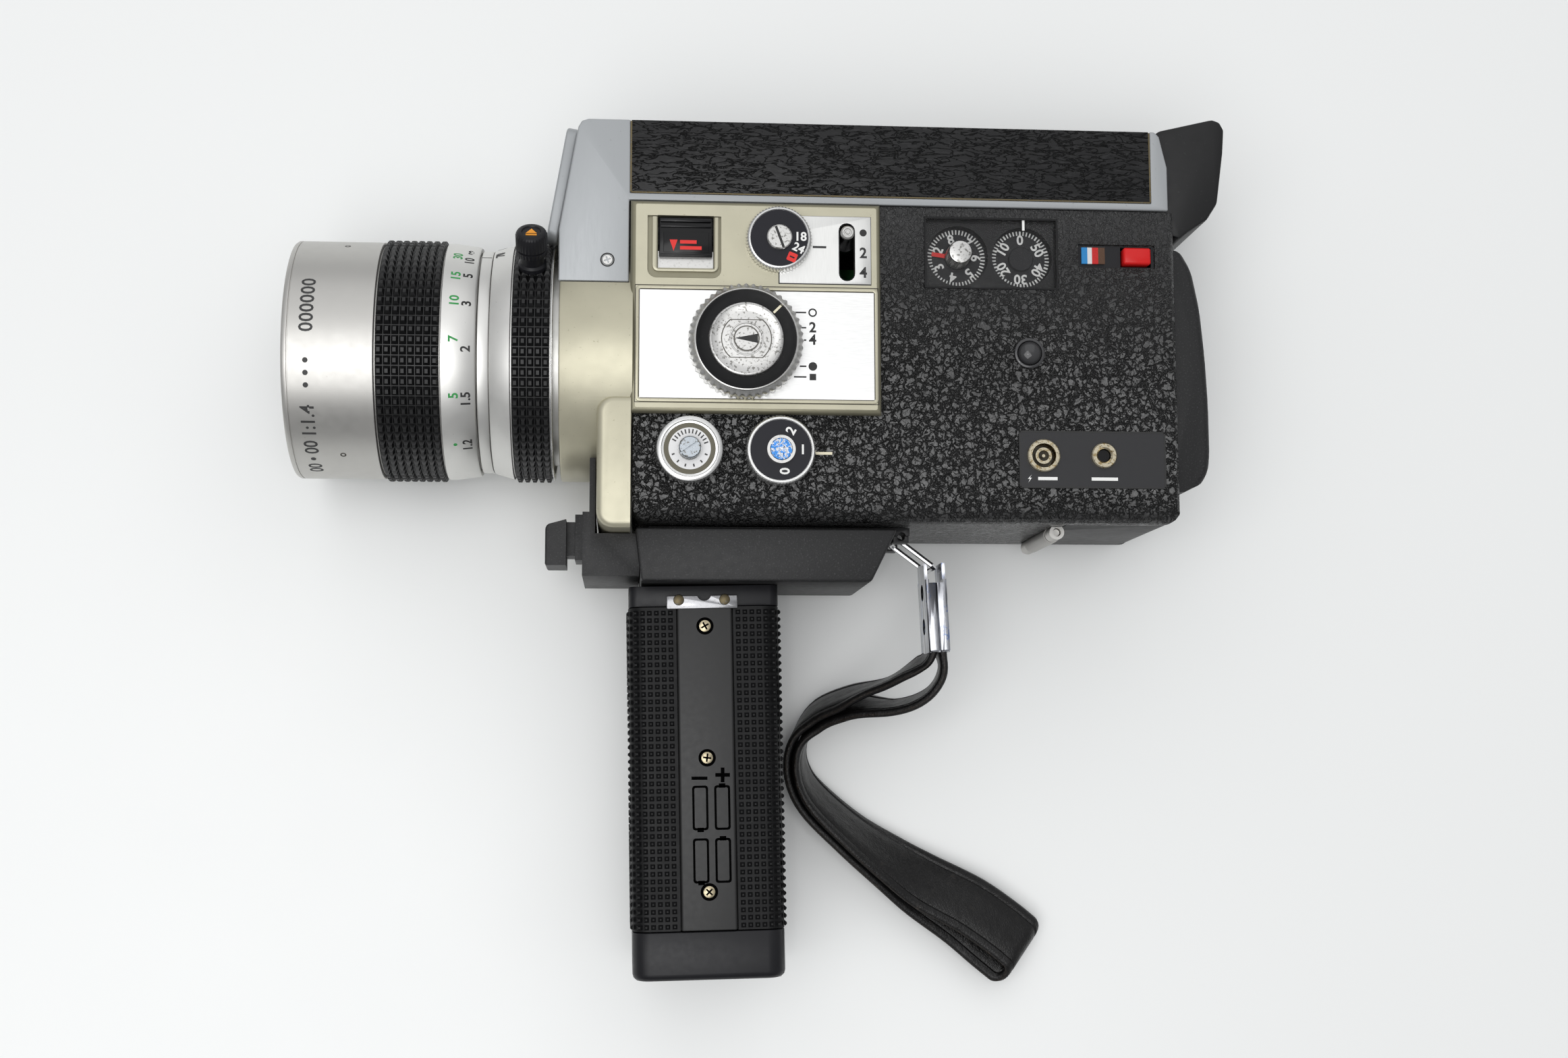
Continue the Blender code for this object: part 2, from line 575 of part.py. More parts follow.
def film_door(look):
    """The rear door: a bulged back, a plate under the body and a hinge tube beneath it."""
    shape = prism(door_outline(0.0), (10.0, 58.0))
    foot = BODY_REAR - 3.0
    back = [(91.0, 22.8), (94.0, 17.5), (96.2, 6.0), (97.4, -8.0), (98.0, -22.0),
            (98.0, -37.0), (97.2, -42.0), (94.5, -45.6), (90.0, -47.2)]
    bulge = prism([(foot, 23.5)] + back + [(foot, -47.6)], (10.0, 58.0))
    corners = edges_near(bulge, lambda c: c.x > 90 and (c.z > 57.9 or c.z < 10.1))
    bevel_edges(bulge, corners, 5.0, 4)
    inside = box((BODY_REAR - 5.0, 93.5), (-42.0, 15.0), (16.0, 52.0), 4.0, 2)
    x, y = DOOR_HINGE
    tube = rod(19.0, 46.0, 2.1, (0, 0, 1), (x, y, 0), 20)
    arm = box((x, x + 3.5), (BODY_BOTTOM - 0.6, BODY_BOTTOM + 0.6), (19.0, 46.0))
    bore = rod(5, 60, 1.2, (0, 0, 1), (x, y, 0), 16)
    return piece("film_door", shape, look, pivot=(x, y, AXIS_Z), add=[bulge, arm, tube], cut=[inside, bore])


def door_hinge(look):
    """The fixed ends of the door's hinge, with the pin between them."""
    x, y = DOOR_HINGE
    profile = [(12.0, 0), (12.0, 2.1), (18.6, 2.1), (18.6, 1.0),
               (46.4, 1.0), (46.4, 2.1), (53.0, 2.1), (53.0, 0)]
    return piece("door_hinge", turn(profile, (0, 0, 1), (x, y, 0), 20), look)


def door_latch(look):
    shape = box((BODY_REAR + GAP, 90.2), (23.9 + RUN, 25.7), (28.0, 41.0), 0.6, 2)
    return piece("door_latch", shape, look, pivot=(88.5, 25.0, AXIS_Z))


# ---- Grip ------------------------------------------------------------------------------------

def grip_head(look):
    """The moulding under the body: trigger block in front, long tapered cheek behind it."""
    cheek = prism([(-65.7, -58.6), (7.4, -58.6), (0.0, -73.4), (-64.0, -73.4)], (12.0, 59.6))
    sides = edges_near(cheek, lambda c: c.z > 59 or c.z < 13)
    bevel_edges(cheek, sides, 0.8, 2)
    saddle = box((-62.0, 12.0), (-59.5, BODY_BOTTOM - GAP), (16.0, 51.0))
    block = box((-80.3, -64.5), (-71.7, -59.8), (14.0, 55.0))
    nose = box((-80.3, -76.8), (-60.5, -53.8), (14.0, 55.0))
    arm = box((-78.4, -76.8), (-54.0, -38.6), (30.0, 55.0))
    lug = box((7.6, 12.0), (-61.2, -58.0), (20.0, 49.0))
    eye = rod(15, 55, 1.1, (0, 0, 1), (9.8, -59.6, 0), 16)
    notch = box((7.0, 13.0), (-62, -57.6), (25.9, 43.5))
    collar = box((-82.6, -80.0), (-66.2, -53.2), (30.4, 43.6))
    mouth = box((-85, -76.7), (-64.8 - RUN, -55.2 + RUN), (32 - RUN, 42 + RUN))
    track = box((-85, -70), (-64.8 - RUN, -60.7 + RUN), (32 - RUN, 42 + RUN))
    drum = rod(-95, -60, BARREL_R + 0.8, (1, 0, 0), (0, AXIS_Y, AXIS_Z), 40)
    return piece("grip_head", cheek, look, add=[block, nose, arm, saddle, lug, collar],
                 cut=[notch, eye, mouth, track, drum])


def trigger(look):
    """A flared finger piece on a stem that slides into the head."""
    blade = prism([(-91.0, -67.8), (-91.0, -56.2), (-85.5, -54.9), (-85.5, -67.8)], (29.0, 45.0))
    bevel_edges(blade, list(blade.edges), 0.8, 2)
    stem = box((-86.0, -79.6), (-64.8, -55.2), (32.0, 42.0))
    rail = box((-80.5, -74.0), (-64.8, -60.7), (32.0, 42.0))
    return piece("trigger", blade, look, pivot=(-84.0, -60.0, 37.0), add=[stem, rail])


def leaned(shape):
    """The grip leans a little: its foot is further back than its top."""
    return rotate(shape, GRIP_LEAN, "Z", (-46.4, GRIP_TOP, 0))


def grip_core(look):
    """Neck and battery tube in one moulding, bored for two columns of cells."""
    neck = leaned(box((-67.3, -25.3), (GRIP_TOP + GAP, -73.9), (19.0, 50.4), 2.5, 3, "y"))
    tube = leaned(box((-62.4, -30.4), (GRIP_END, GRIP_TOP + 1), (25.6, 44.0)))
    bores = [leaned(column(x, CELL_R + RUN, GRIP_END - 5, GRIP_TOP + 1.0)) for x in CELL_COLUMNS]
    return piece("grip_core", neck, look, add=[tube], cut=bores)


def column(x, radius, low, high):
    return rod(low, high, radius, (0, 1, 0), (x, 0, AXIS_Z), 24)


def cell(number, look):
    """Two columns of two AA cells, end to end."""
    x = CELL_COLUMNS[number % 2]
    top = GRIP_TOP + 0.6 - (number // 2) * (CELL_LENGTH + GAP)
    foot = top - CELL_LENGTH
    body = [(foot, 0), (foot, CELL_R), (top - 1.2, CELL_R), (top - 1.2, 2.7), (top, 2.7), (top, 0)]
    shape = leaned(turn(body, (0, 1, 0), (x, 0, AXIS_Z), 20))
    return piece("battery_cell_%d" % (number + 1), shape, look)


def grip_cover(look):
    """The rubber sleeve, with a slot for the strip along its left face."""
    sleeve = leaned(box((-67.5, -25.3), (GRIP_END, GRIP_TOP), (17.0, 52.4), 5.0, 4, "y"))
    core = leaned(box((-62.7, -30.1), (-180, -70), (25.3, 44.3)))
    slot = leaned(box((-54.2, -38.3), (-180, -70), (50.4, 60)))
    return piece("grip_cover", sleeve, look, cut=[core, slot])


def grip_strip(look):
    shape = leaned(box((-53.9, -38.6), (GRIP_END, GRIP_TOP), (50.7, 53.0), 0.4, 1, "y"))
    return piece("grip_strip", shape, look)


def grip_cap(look):
    shape = leaned(box((-67.5, -25.3), (-182.4, GRIP_END - GAP), (17.2, 52.4), 5.0, 4, "y"))
    bottom = edges_near(shape, lambda c: c.y < -180)
    bevel_edges(shape, bottom, 2.0, 3)
    room = leaned(box((-63.0, -29.8), (-181.4, -160), (25.0, 44.6)))
    return piece("grip_cap", shape, look, pivot=(-46.4, GRIP_END, AXIS_Z), cut=[room])


# ---- Strap -----------------------------------------------------------------------------------

def strap_link(look):
    """A closed wire loop from the head's lug to the strap's clamp."""
    start, end = Vector((9.8, -59.6)), Vector((20.4, -67.6))
    along = (end - start).normalized()
    reach = (end - start).length
    curve = bpy.data.curves.new("strap_link_path", "CURVE")
    curve.dimensions = "3D"
    curve.bevel_depth = 0.75 * MM
    curve.bevel_resolution = 2
    spline = curve.splines.new("POLY")
    half, round_off = 7.6, 1.2
    corners = [(0, -half), (reach, -half), (reach, half), (0, half)]
    inward = [(1, 1), (-1, 1), (-1, -1), (1, -1)]
    points = []
    for (a, b), (sa, sb) in zip(corners, inward):
        ends = [(a + sa * round_off, b), (a, b + sb * round_off)]
        points += ends if (a == 0) == (b > 0) else ends[::-1]
    points = [(start.x + along.x * a, start.y + along.y * a, AXIS_Z + b) for a, b in points]
    spline.points.add(len(points) - 1)
    for node, place in zip(spline.points, points):
        node.co = (place[0] * MM, place[1] * MM, place[2] * MM, 1)
    spline.use_cyclic_u = True
    wire = bpy.data.objects.new("strap_link_wire", curve)
    bpy.context.scene.collection.objects.link(wire)
    mesh = bpy.data.meshes.new_from_object(wire)
    bpy.data.objects.remove(wire)
    shape = bmesh.new()
    shape.from_mesh(mesh)
    bmesh.ops.scale(shape, vec=(1 / MM, 1 / MM, 1 / MM), verts=shape.verts)
    return piece("strap_link", shape, look, pivot=(start.x, start.y, AXIS_Z))


def strap_ferrule(look):
    shape = box((17.3, 23.5), (-92.0, -66.0), (26.5, 42.9), 0.8, 2, "y")
    rotate(shape, math.radians(2.6), "Z", (20.4, -66.0, 0))
    room = box((18.4, 22.4), (-71.0, -60.0), (25.0, 45.0))
    foot = box((18.3, 22.7), (-95.0, -84.0), (27.5, 41.9))
    rotate(foot, math.radians(2.6), "Z", (20.4, -66.0, 0))
    ears = [box((10, 30), (-71.0, -60.0), (20.0, 28.6)), box((10, 30), (-71.0, -60.0), (40.8, 50.0))]
    return piece("strap_ferrule", shape, look, pivot=(20.4, -67.6, AXIS_Z), cut=[room, foot] + ears)


def strap(look):
    shape = bmesh.new()
    sections = []
    for i, (x, y, thick, low, width) in enumerate(STRAP_ROUTE):
        before = STRAP_ROUTE[max(i - 1, 0)]
        after = STRAP_ROUTE[min(i + 1, len(STRAP_ROUTE) - 1)]
        along = Vector((after[0] - before[0], after[1] - before[1])).normalized()
        side = Vector((-along.y, along.x)) * thick / 2
        sections.append([shape.verts.new((x + side.x * s, y + side.y * s, low + width * t))
                         for s, t in ((-1, 0), (1, 0), (1, 1), (-1, 1))])
    for first, second in zip(sections, sections[1:]):
        for k in range(4):
            n = (k + 1) % 4
            shape.faces.new((first[k], first[n], second[n], second[k]))
    shape.faces.new(sections[0])
    shape.faces.new(sections[-1])
    bmesh.ops.recalc_face_normals(shape, faces=shape.faces)
    return piece("strap", shape, look, pivot=(20.4, -67.6, AXIS_Z))


def main():
    for old in list(bpy.data.objects):
        bpy.data.objects.remove(old)
    black_paint = material("black_paint", (0.02, 0.02, 0.022), 0.45)
    plastic = material("dark_plastic", (0.035, 0.035, 0.036), 0.5)
    silver_paint = material("silver_paint", (0.46, 0.48, 0.50), 0.4, 0.3)
    champagne = material("champagne_paint", (0.50, 0.48, 0.37), 0.4, 0.2)
    satin = material("satin_aluminium", (0.62, 0.60, 0.57), 0.3, 1.0)
    chrome = material("chrome", (0.75, 0.75, 0.75), 0.12, 1.0)
    nickel = material("nickel", (0.60, 0.55, 0.42), 0.25, 1.0)
    rubber = material("rubber", (0.02, 0.02, 0.02), 0.7)
    leather = material("leatherette", (0.025, 0.025, 0.025), 0.55)
    strap_leather = material("strap_leather", (0.02, 0.018, 0.016), 0.5)
    white = material("brushed_plate", (0.85, 0.85, 0.84), 0.35, 0.6)
    gloss = material("black_gloss", (0.015, 0.015, 0.015), 0.2)
    red = material("red_plastic", (0.65, 0.02, 0.02), 0.3)
    glass = material("glass", (0.8, 0.85, 0.9), 0.05, 0.0, 0.35)
    steel = material("steel", (0.45, 0.45, 0.45), 0.35, 1.0)
    board = material("board", (0.05, 0.22, 0.10), 0.5)
    wrapper = material("cell_wrapper", (0.55, 0.42, 0.12), 0.4, 0.3)

    left_casing(black_paint)
    right_cover(black_paint)
    front_housing(champagne)
    top_cover(silver_paint)
    leatherette(leather)
    front_plate(chrome)
    eyecup(rubber)
    diopter_ring(plastic)
    control_panel(champagne)
    white_plate(white)
    slow_motion_key(gloss)
    speed_dial(satin)
    shutter_lever(satin)
    fade_dial(satin)
    fade_knob(satin)
    aperture_spindle(steel)
    aperture_knob(satin)
    power_dial(satin)
    counter_window(glass)
    counter_disc(gloss)
    memo_knob(satin)
    battery_check_button(red)
    dome_button(gloss)
    socket("flash_socket", FLASH_SOCKET, 4.8, 1.4, nickel)
    socket("remote_socket", REMOTE_SOCKET, 3.7, 1.65, nickel)
    lens_barrel(satin)
    focus_grip(rubber)
    distance_scale_ring(satin)
    front_cell(gloss)
    front_element(glass)
    lens_tube(satin)
    zoom_ring(satin)
    zoom_grip(rubber)
    zoom_lever(gloss)
    glass_disc("variator_lens", -128.0, 17.0, 5.0, glass)
    glass_disc("relay_lens", BODY_FRONT + 6.9, 13.5, 1.4, glass)
    beam_splitter(glass)
    iris_vane(steel)
    film_cartridge(plastic)
    film_gate(steel)
    shutter_disc(steel)
    motor(steel)
    circuit_board(board)
    take_up_spindle(plastic)
    film_door(black_paint)
    door_hinge(chrome)
    door_latch(plastic)
    grip_head(plastic)
    trigger(plastic)
    grip_core(plastic)
    for number in range(4):
        cell(number, wrapper)
    grip_cover(rubber)
    grip_strip(plastic)
    grip_cap(plastic)
    strap_link(chrome)
    strap_ferrule(chrome)
    strap(strap_leather)


main()
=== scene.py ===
"""The looks of the cine camera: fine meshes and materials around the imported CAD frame.

Lengths in this script are millimetres in the frame's own axes: +X from the lens to the
eyepiece, +Y from the grip to the top cover, +Z out of the left side that carries the controls.
MM turns them into metres when a mesh is stored.
"""

import json
import math

import bmesh
import bpy
from mathutils import Matrix, Vector


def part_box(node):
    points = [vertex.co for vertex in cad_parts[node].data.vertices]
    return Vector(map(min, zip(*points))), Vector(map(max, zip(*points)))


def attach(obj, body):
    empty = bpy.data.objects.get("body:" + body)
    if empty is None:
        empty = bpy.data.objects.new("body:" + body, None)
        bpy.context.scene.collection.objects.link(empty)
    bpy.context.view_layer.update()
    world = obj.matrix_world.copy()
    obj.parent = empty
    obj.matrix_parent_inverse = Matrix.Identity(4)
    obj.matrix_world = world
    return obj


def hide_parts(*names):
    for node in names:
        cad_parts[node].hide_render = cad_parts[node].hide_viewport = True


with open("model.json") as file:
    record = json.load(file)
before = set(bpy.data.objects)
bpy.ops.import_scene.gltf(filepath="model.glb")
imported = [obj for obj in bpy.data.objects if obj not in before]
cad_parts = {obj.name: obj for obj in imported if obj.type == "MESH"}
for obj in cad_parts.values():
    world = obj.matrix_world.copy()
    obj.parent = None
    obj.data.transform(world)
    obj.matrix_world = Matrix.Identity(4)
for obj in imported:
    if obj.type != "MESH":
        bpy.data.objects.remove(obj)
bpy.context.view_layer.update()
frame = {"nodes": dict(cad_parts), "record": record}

MM = 0.001
X, Y, Z = (1, 0, 0), (0, 1, 0), (0, 0, 1)
BODY_OF = {node: body for body, nodes in frame["record"]["behaviour"]["bodies"].items() for node in nodes}
SLOT_OF = {part["node"]: part["material_slot"] for part in frame["record"]["subparts"]}


def span(node):
    """Lowest and highest corners of a CAD node."""
    low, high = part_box(node)
    return low / MM, high / MM


def middle(node):
    low, high = span(node)
    return (low + high) / 2


# Driving dimensions, most of them read from the frame
AXIS_Y, AXIS_Z = middle("lens_tube").y, middle("lens_tube").z
BARREL_R = 34.0
FACE = span("left_casing")[1].z
COVER_FACE = span("top_cover")[1].z
PANEL_TOP = span("control_panel")[1].z
SPEED, FADE = middle("speed_dial"), middle("fade_dial")
APERTURE, POWER = middle("aperture_knob"), middle("power_dial")
SLIDE, MEMO, COUNTER = middle("shutter_lever"), middle("memo_knob"), middle("counter_disc")
FLASH, REMOTE, DOME = middle("flash_socket"), middle("remote_socket"), middle("dome_button")
KEY = span("slow_motion_key")
PLATE = span("white_plate")
WINDOW = span("counter_window")
HINGE = middle("door_hinge")


# ---- Materials -------------------------------------------------------------------------------

class Surface:
    """A node material: a Principled shader and short ways to vary it."""

    def __init__(self, name, colour, roughness, metallic=0.0, gloss=0.5):
        self.material = bpy.data.materials.new(name)
        self.material.use_nodes = True
        self.tree = self.material.node_tree
        self.shader = self.tree.nodes["Principled BSDF"]
        self.base = (*colour, 1.0)
        self.shader.inputs["Base Color"].default_value = self.base
        self.shader.inputs["Roughness"].default_value = roughness
        self.shader.inputs["Metallic"].default_value = metallic
        self.shader.inputs["Specular IOR Level"].default_value = gloss
        self.normal = None

    def node(self, kind, inputs=(), **settings):
        made = self.tree.nodes.new(kind)
        for key, value in settings.items():
            setattr(made, key, value)
        for key, value in dict(inputs).items():
            if isinstance(value, bpy.types.NodeSocket):
                self.tree.links.new(value, made.inputs[key])
            else:
                made.inputs[key].default_value = value
        return made

    def place(self, stretch=(1, 1, 1), offset=(0, 0, 0)):
        """Coordinates in millimetres in the frame's axes, stretched."""
        where = self.node("ShaderNodeTexCoord").outputs["Object"]
        scale = tuple(s / MM for s in stretch)
        shift = tuple(-o * s for o, s in zip(offset, stretch))
        return self.node("ShaderNodeMapping", {"Vector": where, "Scale": scale, "Location": shift}).outputs[0]

    def radius(self, centre, axis):
        """Distance from an axis, for turned rings."""
        flat = tuple(0.0 if a else 1.0 for a in axis)
        return self.node("ShaderNodeVectorMath", {0: self.place(flat, centre)},
                         operation="LENGTH").outputs["Value"]

    def noise(self, size, detail=2.0, stretch=(1, 1, 1), rough=0.5, warp=0.0):
        """Noise whose blotches are about size millimetres."""
        inputs = {"Vector": self.place(stretch), "Scale": 1.0 / size, "Detail": detail,
                  "Roughness": rough, "Distortion": warp}
        return self.node("ShaderNodeTexNoise", inputs).outputs["Fac"]

    def cells(self, size, where=None):
        """Distance to the edges of cells about size millimetres wide."""
        inputs = {"Vector": where or self.place(), "Scale": 1.0 / size}
        return self.node("ShaderNodeTexVoronoi", inputs, feature="DISTANCE_TO_EDGE").outputs["Distance"]

    def warped(self, size, amount):
        """Coordinates pushed about by noise, in millimetres."""
        push = self.node("ShaderNodeTexNoise", {"Vector": self.place(), "Scale": 1.0 / size, "Detail": 2.0})
        centred = self.node("ShaderNodeVectorMath", {0: push.outputs["Color"], 1: (0.5, 0.5, 0.5)},
                            operation="SUBTRACT").outputs[0]
        scaled = self.node("ShaderNodeVectorMath", {0: centred, "Scale": amount},
                           operation="SCALE").outputs[0]
        return self.node("ShaderNodeVectorMath", {0: self.place(), 1: scaled}).outputs[0]

    def levels(self, value, low, high, out_low=0.0, out_high=1.0):
        inputs = {"Value": value, "From Min": low, "From Max": high, "To Min": out_low, "To Max": out_high}
        return self.node("ShaderNodeMapRange", inputs, interpolation_type="SMOOTHSTEP").outputs["Result"]

    def maths(self, operation, first, second=0.0):
        return self.node("ShaderNodeMath", {0: first, 1: second}, operation=operation).outputs[0]

    def axis_value(self, axis):
        split = self.node("ShaderNodeSeparateXYZ", {"Vector": self.place()})
        return split.outputs[axis]

    def tint(self, factor, colour):
        """Mix towards another colour."""
        socket = self.shader.inputs["Base Color"]
        before = socket.links[0].from_socket if socket.links else self.base
        mix = self.node("ShaderNodeMix", {0: factor, 6: before, 7: (*colour, 1.0)}, data_type="RGBA")
        self.tree.links.new(mix.outputs[2], socket)
        return self

    def rough(self, factor, low, high):
        result = self.node("ShaderNodeMapRange", {"Value": factor, "To Min": low, "To Max": high})
        self.tree.links.new(result.outputs["Result"], self.shader.inputs["Roughness"])
        return self

    def bump(self, height, depth, strength=1.0):
        """Raise the surface by height times depth, in millimetres."""
        inputs = {"Height": height, "Distance": depth * MM, "Strength": strength}
        if self.normal:
            inputs["Normal"] = self.normal
        self.normal = self.node("ShaderNodeBump", inputs).outputs["Normal"]
        self.tree.links.new(self.normal, self.shader.inputs["Normal"])
        return self


def wrinkle_paint():
    """Black wrinkle paint, coarse low on the side and nearly smooth towards the top, with a painted highlight
    that grows towards the bottom and painted shade in its creases.
    """
    s = Surface("black_wrinkle_paint", (0.012, 0.012, 0.0125), 0.28, gloss=0.4)
    net = s.levels(s.cells(2.6, where=s.warped(1.4, 3.4)), 0.0, 0.16)
    worms = s.noise(2.0, 1.5, warp=1.0)
    worms = s.levels(s.maths("ABSOLUTE", s.maths("SUBTRACT", worms, 0.5)), 0.0, 0.045)
    creases = s.maths("MULTIPLY", net, worms)
    fade = s.levels(s.axis_value("Y"), 30.0, -16.0, 0.15, 1.0)
    # painted highlight: lighter patches on the plateaus stand for glints, stronger towards the bottom of the
    # side
    low = s.maths("MULTIPLY", s.levels(s.axis_value("Y"), 24.0, -34.0, 0.1, 1.0),
                  s.levels(s.axis_value("Y"), -56.0, -47.0, 0.3, 1.0))
    fine = s.maths("MULTIPLY", s.noise(0.6, 3.0), 0.25)
    s.bump(s.maths("MULTIPLY", s.maths("ADD", creases, fine), fade), 0.8)
    shine = s.maths("MULTIPLY", s.levels(s.noise(1.6, 2.0, warp=0.8), 0.30, 0.70, 0.35, 0.8), low)
    s.tint(shine, (0.17, 0.17, 0.168))
    # painted shade: the creases darkened where shade falls in them
    s.tint(s.maths("MULTIPLY", s.levels(creases, 0.65, 0.2), fade), (0.001, 0.001, 0.001))
    s.rough(s.noise(5.0, 3.0), 0.20, 0.36)
    return s.material


def champagne_paint(name="champagne_paint", colour=(0.50, 0.475, 0.36)):
    s = Surface(name, colour, 0.38, 0.5)
    s.tint(s.levels(s.noise(9.0, 4.0), 0.35, 0.75, 0.0, 0.35), tuple(0.8 * c for c in colour))
    s.tint(s.levels(s.noise(0.9, 2.0), 0.68, 0.76, 0.0, 0.35), (0.20, 0.17, 0.10))
    s.bump(s.noise(0.22, 2.0), 0.02, 0.6)
    s.rough(s.noise(3.0, 4.0), 0.30, 0.44)
    return s.material


def silver_paint():
    s = Surface("blue_silver_paint", (0.375, 0.39, 0.40), 0.40, 0.35)
    s.tint(s.levels(s.noise(1.4, 2.0), 0.70, 0.78, 0.0, 0.4), (0.22, 0.22, 0.22))
    s.bump(s.noise(0.3, 2.0, stretch=(1, 0.15, 1)), 0.015, 0.6)
    s.rough(s.noise(0.5, 3.0, stretch=(1, 0.1, 1)), 0.34, 0.48)
    return s.material


def ring_metal(name="satin_ring", colour=(0.56, 0.55, 0.525), roughness=0.40):
    """Satin aluminium with the fine lines of turning around the lens axis."""
    s = Surface(name, colour, roughness, 0.92)
    lines = s.noise(0.12, 2.0, stretch=(1, 0.01, 0.01))
    s.bump(lines, 0.006, 0.5)
    s.rough(s.noise(2.5, 4.0), roughness - 0.05, roughness + 0.09)
    s.tint(s.levels(s.noise(1.2, 2.0), 0.72, 0.80, 0.0, 0.25), (0.30, 0.29, 0.26))
    return s.material


def dial_metal(name, colour=(0.58, 0.575, 0.56), roughness=0.30, pits=0.2):
    s = Surface(name, colour, roughness, 0.9)
    s.bump(s.noise(0.25, 2.0), 0.008, 0.6)
    s.tint(s.levels(s.noise(0.7, 3.0), 0.54, 0.66, 0.0, pits), (0.13, 0.125, 0.11))
    s.rough(s.noise(1.5, 3.0), roughness - 0.05, roughness + 0.12)
    return s.material


def brushed_plate(name, colour, stretch):
    s = Surface(name, colour, 0.36, 0.55)
    grain = s.noise(0.16, 2.0, stretch=stretch)
    s.tint(s.levels(grain, 0.35, 0.75, 0.0, 0.16), (0.45, 0.45, 0.43))
    s.bump(grain, 0.006, 0.5)
    return s.material


def chrome():
    s = Surface("chrome", (0.62, 0.62, 0.63), 0.10, 1.0)
    s.rough(s.noise(2.0, 4.0), 0.07, 0.20)
    s.tint(s.levels(s.noise(0.6, 3.0), 0.66, 0.76, 0.0, 0.4), (0.35, 0.33, 0.30))
    return s.material


def worn_chrome():
    """Chrome with scratched roughness, painted bluish reflections in patches along the scratches, and painted
    dark reflection streaks.
    """
    s = Surface("worn_chrome", (0.50, 0.51, 0.54), 0.10, 1.0)
    scratch_and_blue_reflection_mask = s.noise(0.9, 4.0, stretch=(1.6, 0.5, 1.6), warp=1.5)
    blue_reflection_patch = s.levels(s.noise(6.0, 2.0), 0.46, 0.60)
    # painted reflection: bluish patches along the scratches
    s.tint(s.maths("MULTIPLY", s.levels(scratch_and_blue_reflection_mask, 0.50, 0.60), blue_reflection_patch), (0.16, 0.25, 0.50))
    # painted reflection: dark streaks along the length
    dark_reflection_streaks = s.noise(0.9, 2.0, stretch=(1, 0.04, 1))
    s.tint(s.levels(dark_reflection_streaks, 0.50, 0.62, 0.0, 0.85), (0.03, 0.03, 0.035))
    s.rough(scratch_and_blue_reflection_mask, 0.06, 0.28)
    return s.material


def blued_screw():
    """A bright screw with most of its blueing left in patches."""
    s = Surface("blued_screw", (0.55, 0.56, 0.58), 0.22, 0.9)
    s.tint(s.levels(s.noise(1.0, 4.0, warp=1.2), 0.42, 0.54), (0.06, 0.24, 0.62))
    s.tint(s.levels(s.noise(0.6, 3.0), 0.58, 0.68, 0.0, 0.8), (0.06, 0.06, 0.06))
    s.bump(s.noise(0.5, 3.0), 0.04)
    s.rough(s.noise(1.0, 3.0), 0.16, 0.36)
    return s.material


def nickel():
    s = Surface("nickel", (0.62, 0.56, 0.42), 0.22, 1.0)
    s.tint(s.levels(s.noise(1.1, 3.0), 0.50, 0.66), (0.36, 0.27, 0.13))
    s.tint(s.levels(s.noise(0.7, 3.0), 0.58, 0.68, 0.0, 0.7), (0.09, 0.07, 0.04))
    s.rough(s.noise(0.8, 3.0), 0.14, 0.34)
    return s.material


def rubber(name="moulded_rubber", colour=(0.005, 0.005, 0.0055), shine=0.2):
    s = Surface(name, colour, 0.44, gloss=shine)
    s.bump(s.noise(0.35, 3.0), 0.02, 0.7)
    s.tint(s.levels(s.noise(1.0, 4.0), 0.64, 0.80, 0.0, 0.3), (0.05, 0.05, 0.05))
    s.rough(s.noise(3.0, 3.0), 0.36, 0.58)
    return s.material


def grained_plastic():
    """Dark grey moulding with a fine sparkle of grain."""
    s = Surface("grained_plastic", (0.014, 0.014, 0.0145), 0.42, gloss=0.35)
    s.tint(s.levels(s.noise(0.5, 3.0), 0.55, 0.75, 0.0, 0.6), (0.055, 0.055, 0.057))
    s.bump(s.noise(0.5, 3.0), 0.06, 0.9)
    s.rough(s.noise(2.0, 3.0), 0.40, 0.56)
    return s.material


def leatherette_skin():
    """Glossy black skin whose fine wrinkles run along the camera."""
    s = Surface("leatherette", (0.009, 0.009, 0.0095), 0.32, gloss=0.3)
    folds = s.noise(1.5, 3.0, (0.30, 1.0, 1.0), 0.6, 0.7)
    ridge = s.levels(s.maths("ABSOLUTE", s.maths("SUBTRACT", folds, 0.5)), 0.0, 0.045)
    s.bump(ridge, 0.35)
    s.bump(s.noise(0.5, 3.0, (0.5, 1.0, 1.0)), 0.05, 0.7)
    s.tint(s.levels(s.noise(0.8, 3.0, (0.3, 1.0, 1.0), 0.5, 0.5), 0.50, 0.70, 0.0, 0.45), (0.03, 0.03, 0.031))
    # painted shade: the fold lines darkened where shade falls in them
    s.tint(s.levels(ridge, 0.8, 0.1, 0.0, 1.0), (0.001, 0.001, 0.001))
    s.rough(s.noise(2.0, 3.0), 0.26, 0.44)
    return s.material


def strap_hide(name="strap_leather", colour=(0.005, 0.0047, 0.0047), wear_and_sheen=(0.026, 0.023, 0.020)):
    s = Surface(name, colour, 0.36, gloss=0.35)
    grain = s.levels(s.cells(0.7, where=s.warped(0.8, 0.5)), 0.0, 0.25)
    s.bump(grain, 0.04)
    s.bump(s.noise(2.5, 3.0), 0.35, 0.7)
    # lighter patches: partly wear, partly a painted sheen standing for glossy highlights
    s.tint(s.levels(s.noise(2.2, 4.0), 0.58, 0.78, 0.0, 0.6), wear_and_sheen)
    s.rough(s.noise(3.0, 3.0), 0.24, 0.44)
    return s.material


def gloss(name, colour, roughness=0.16, shine=0.3):
    s = Surface(name, colour, roughness, gloss=shine)
    s.rough(s.noise(1.6, 4.0), max(0.04, roughness - 0.07), roughness + 0.12)
    s.bump(s.noise(3.0, 2.0), 0.01, 0.5)
    return s.material


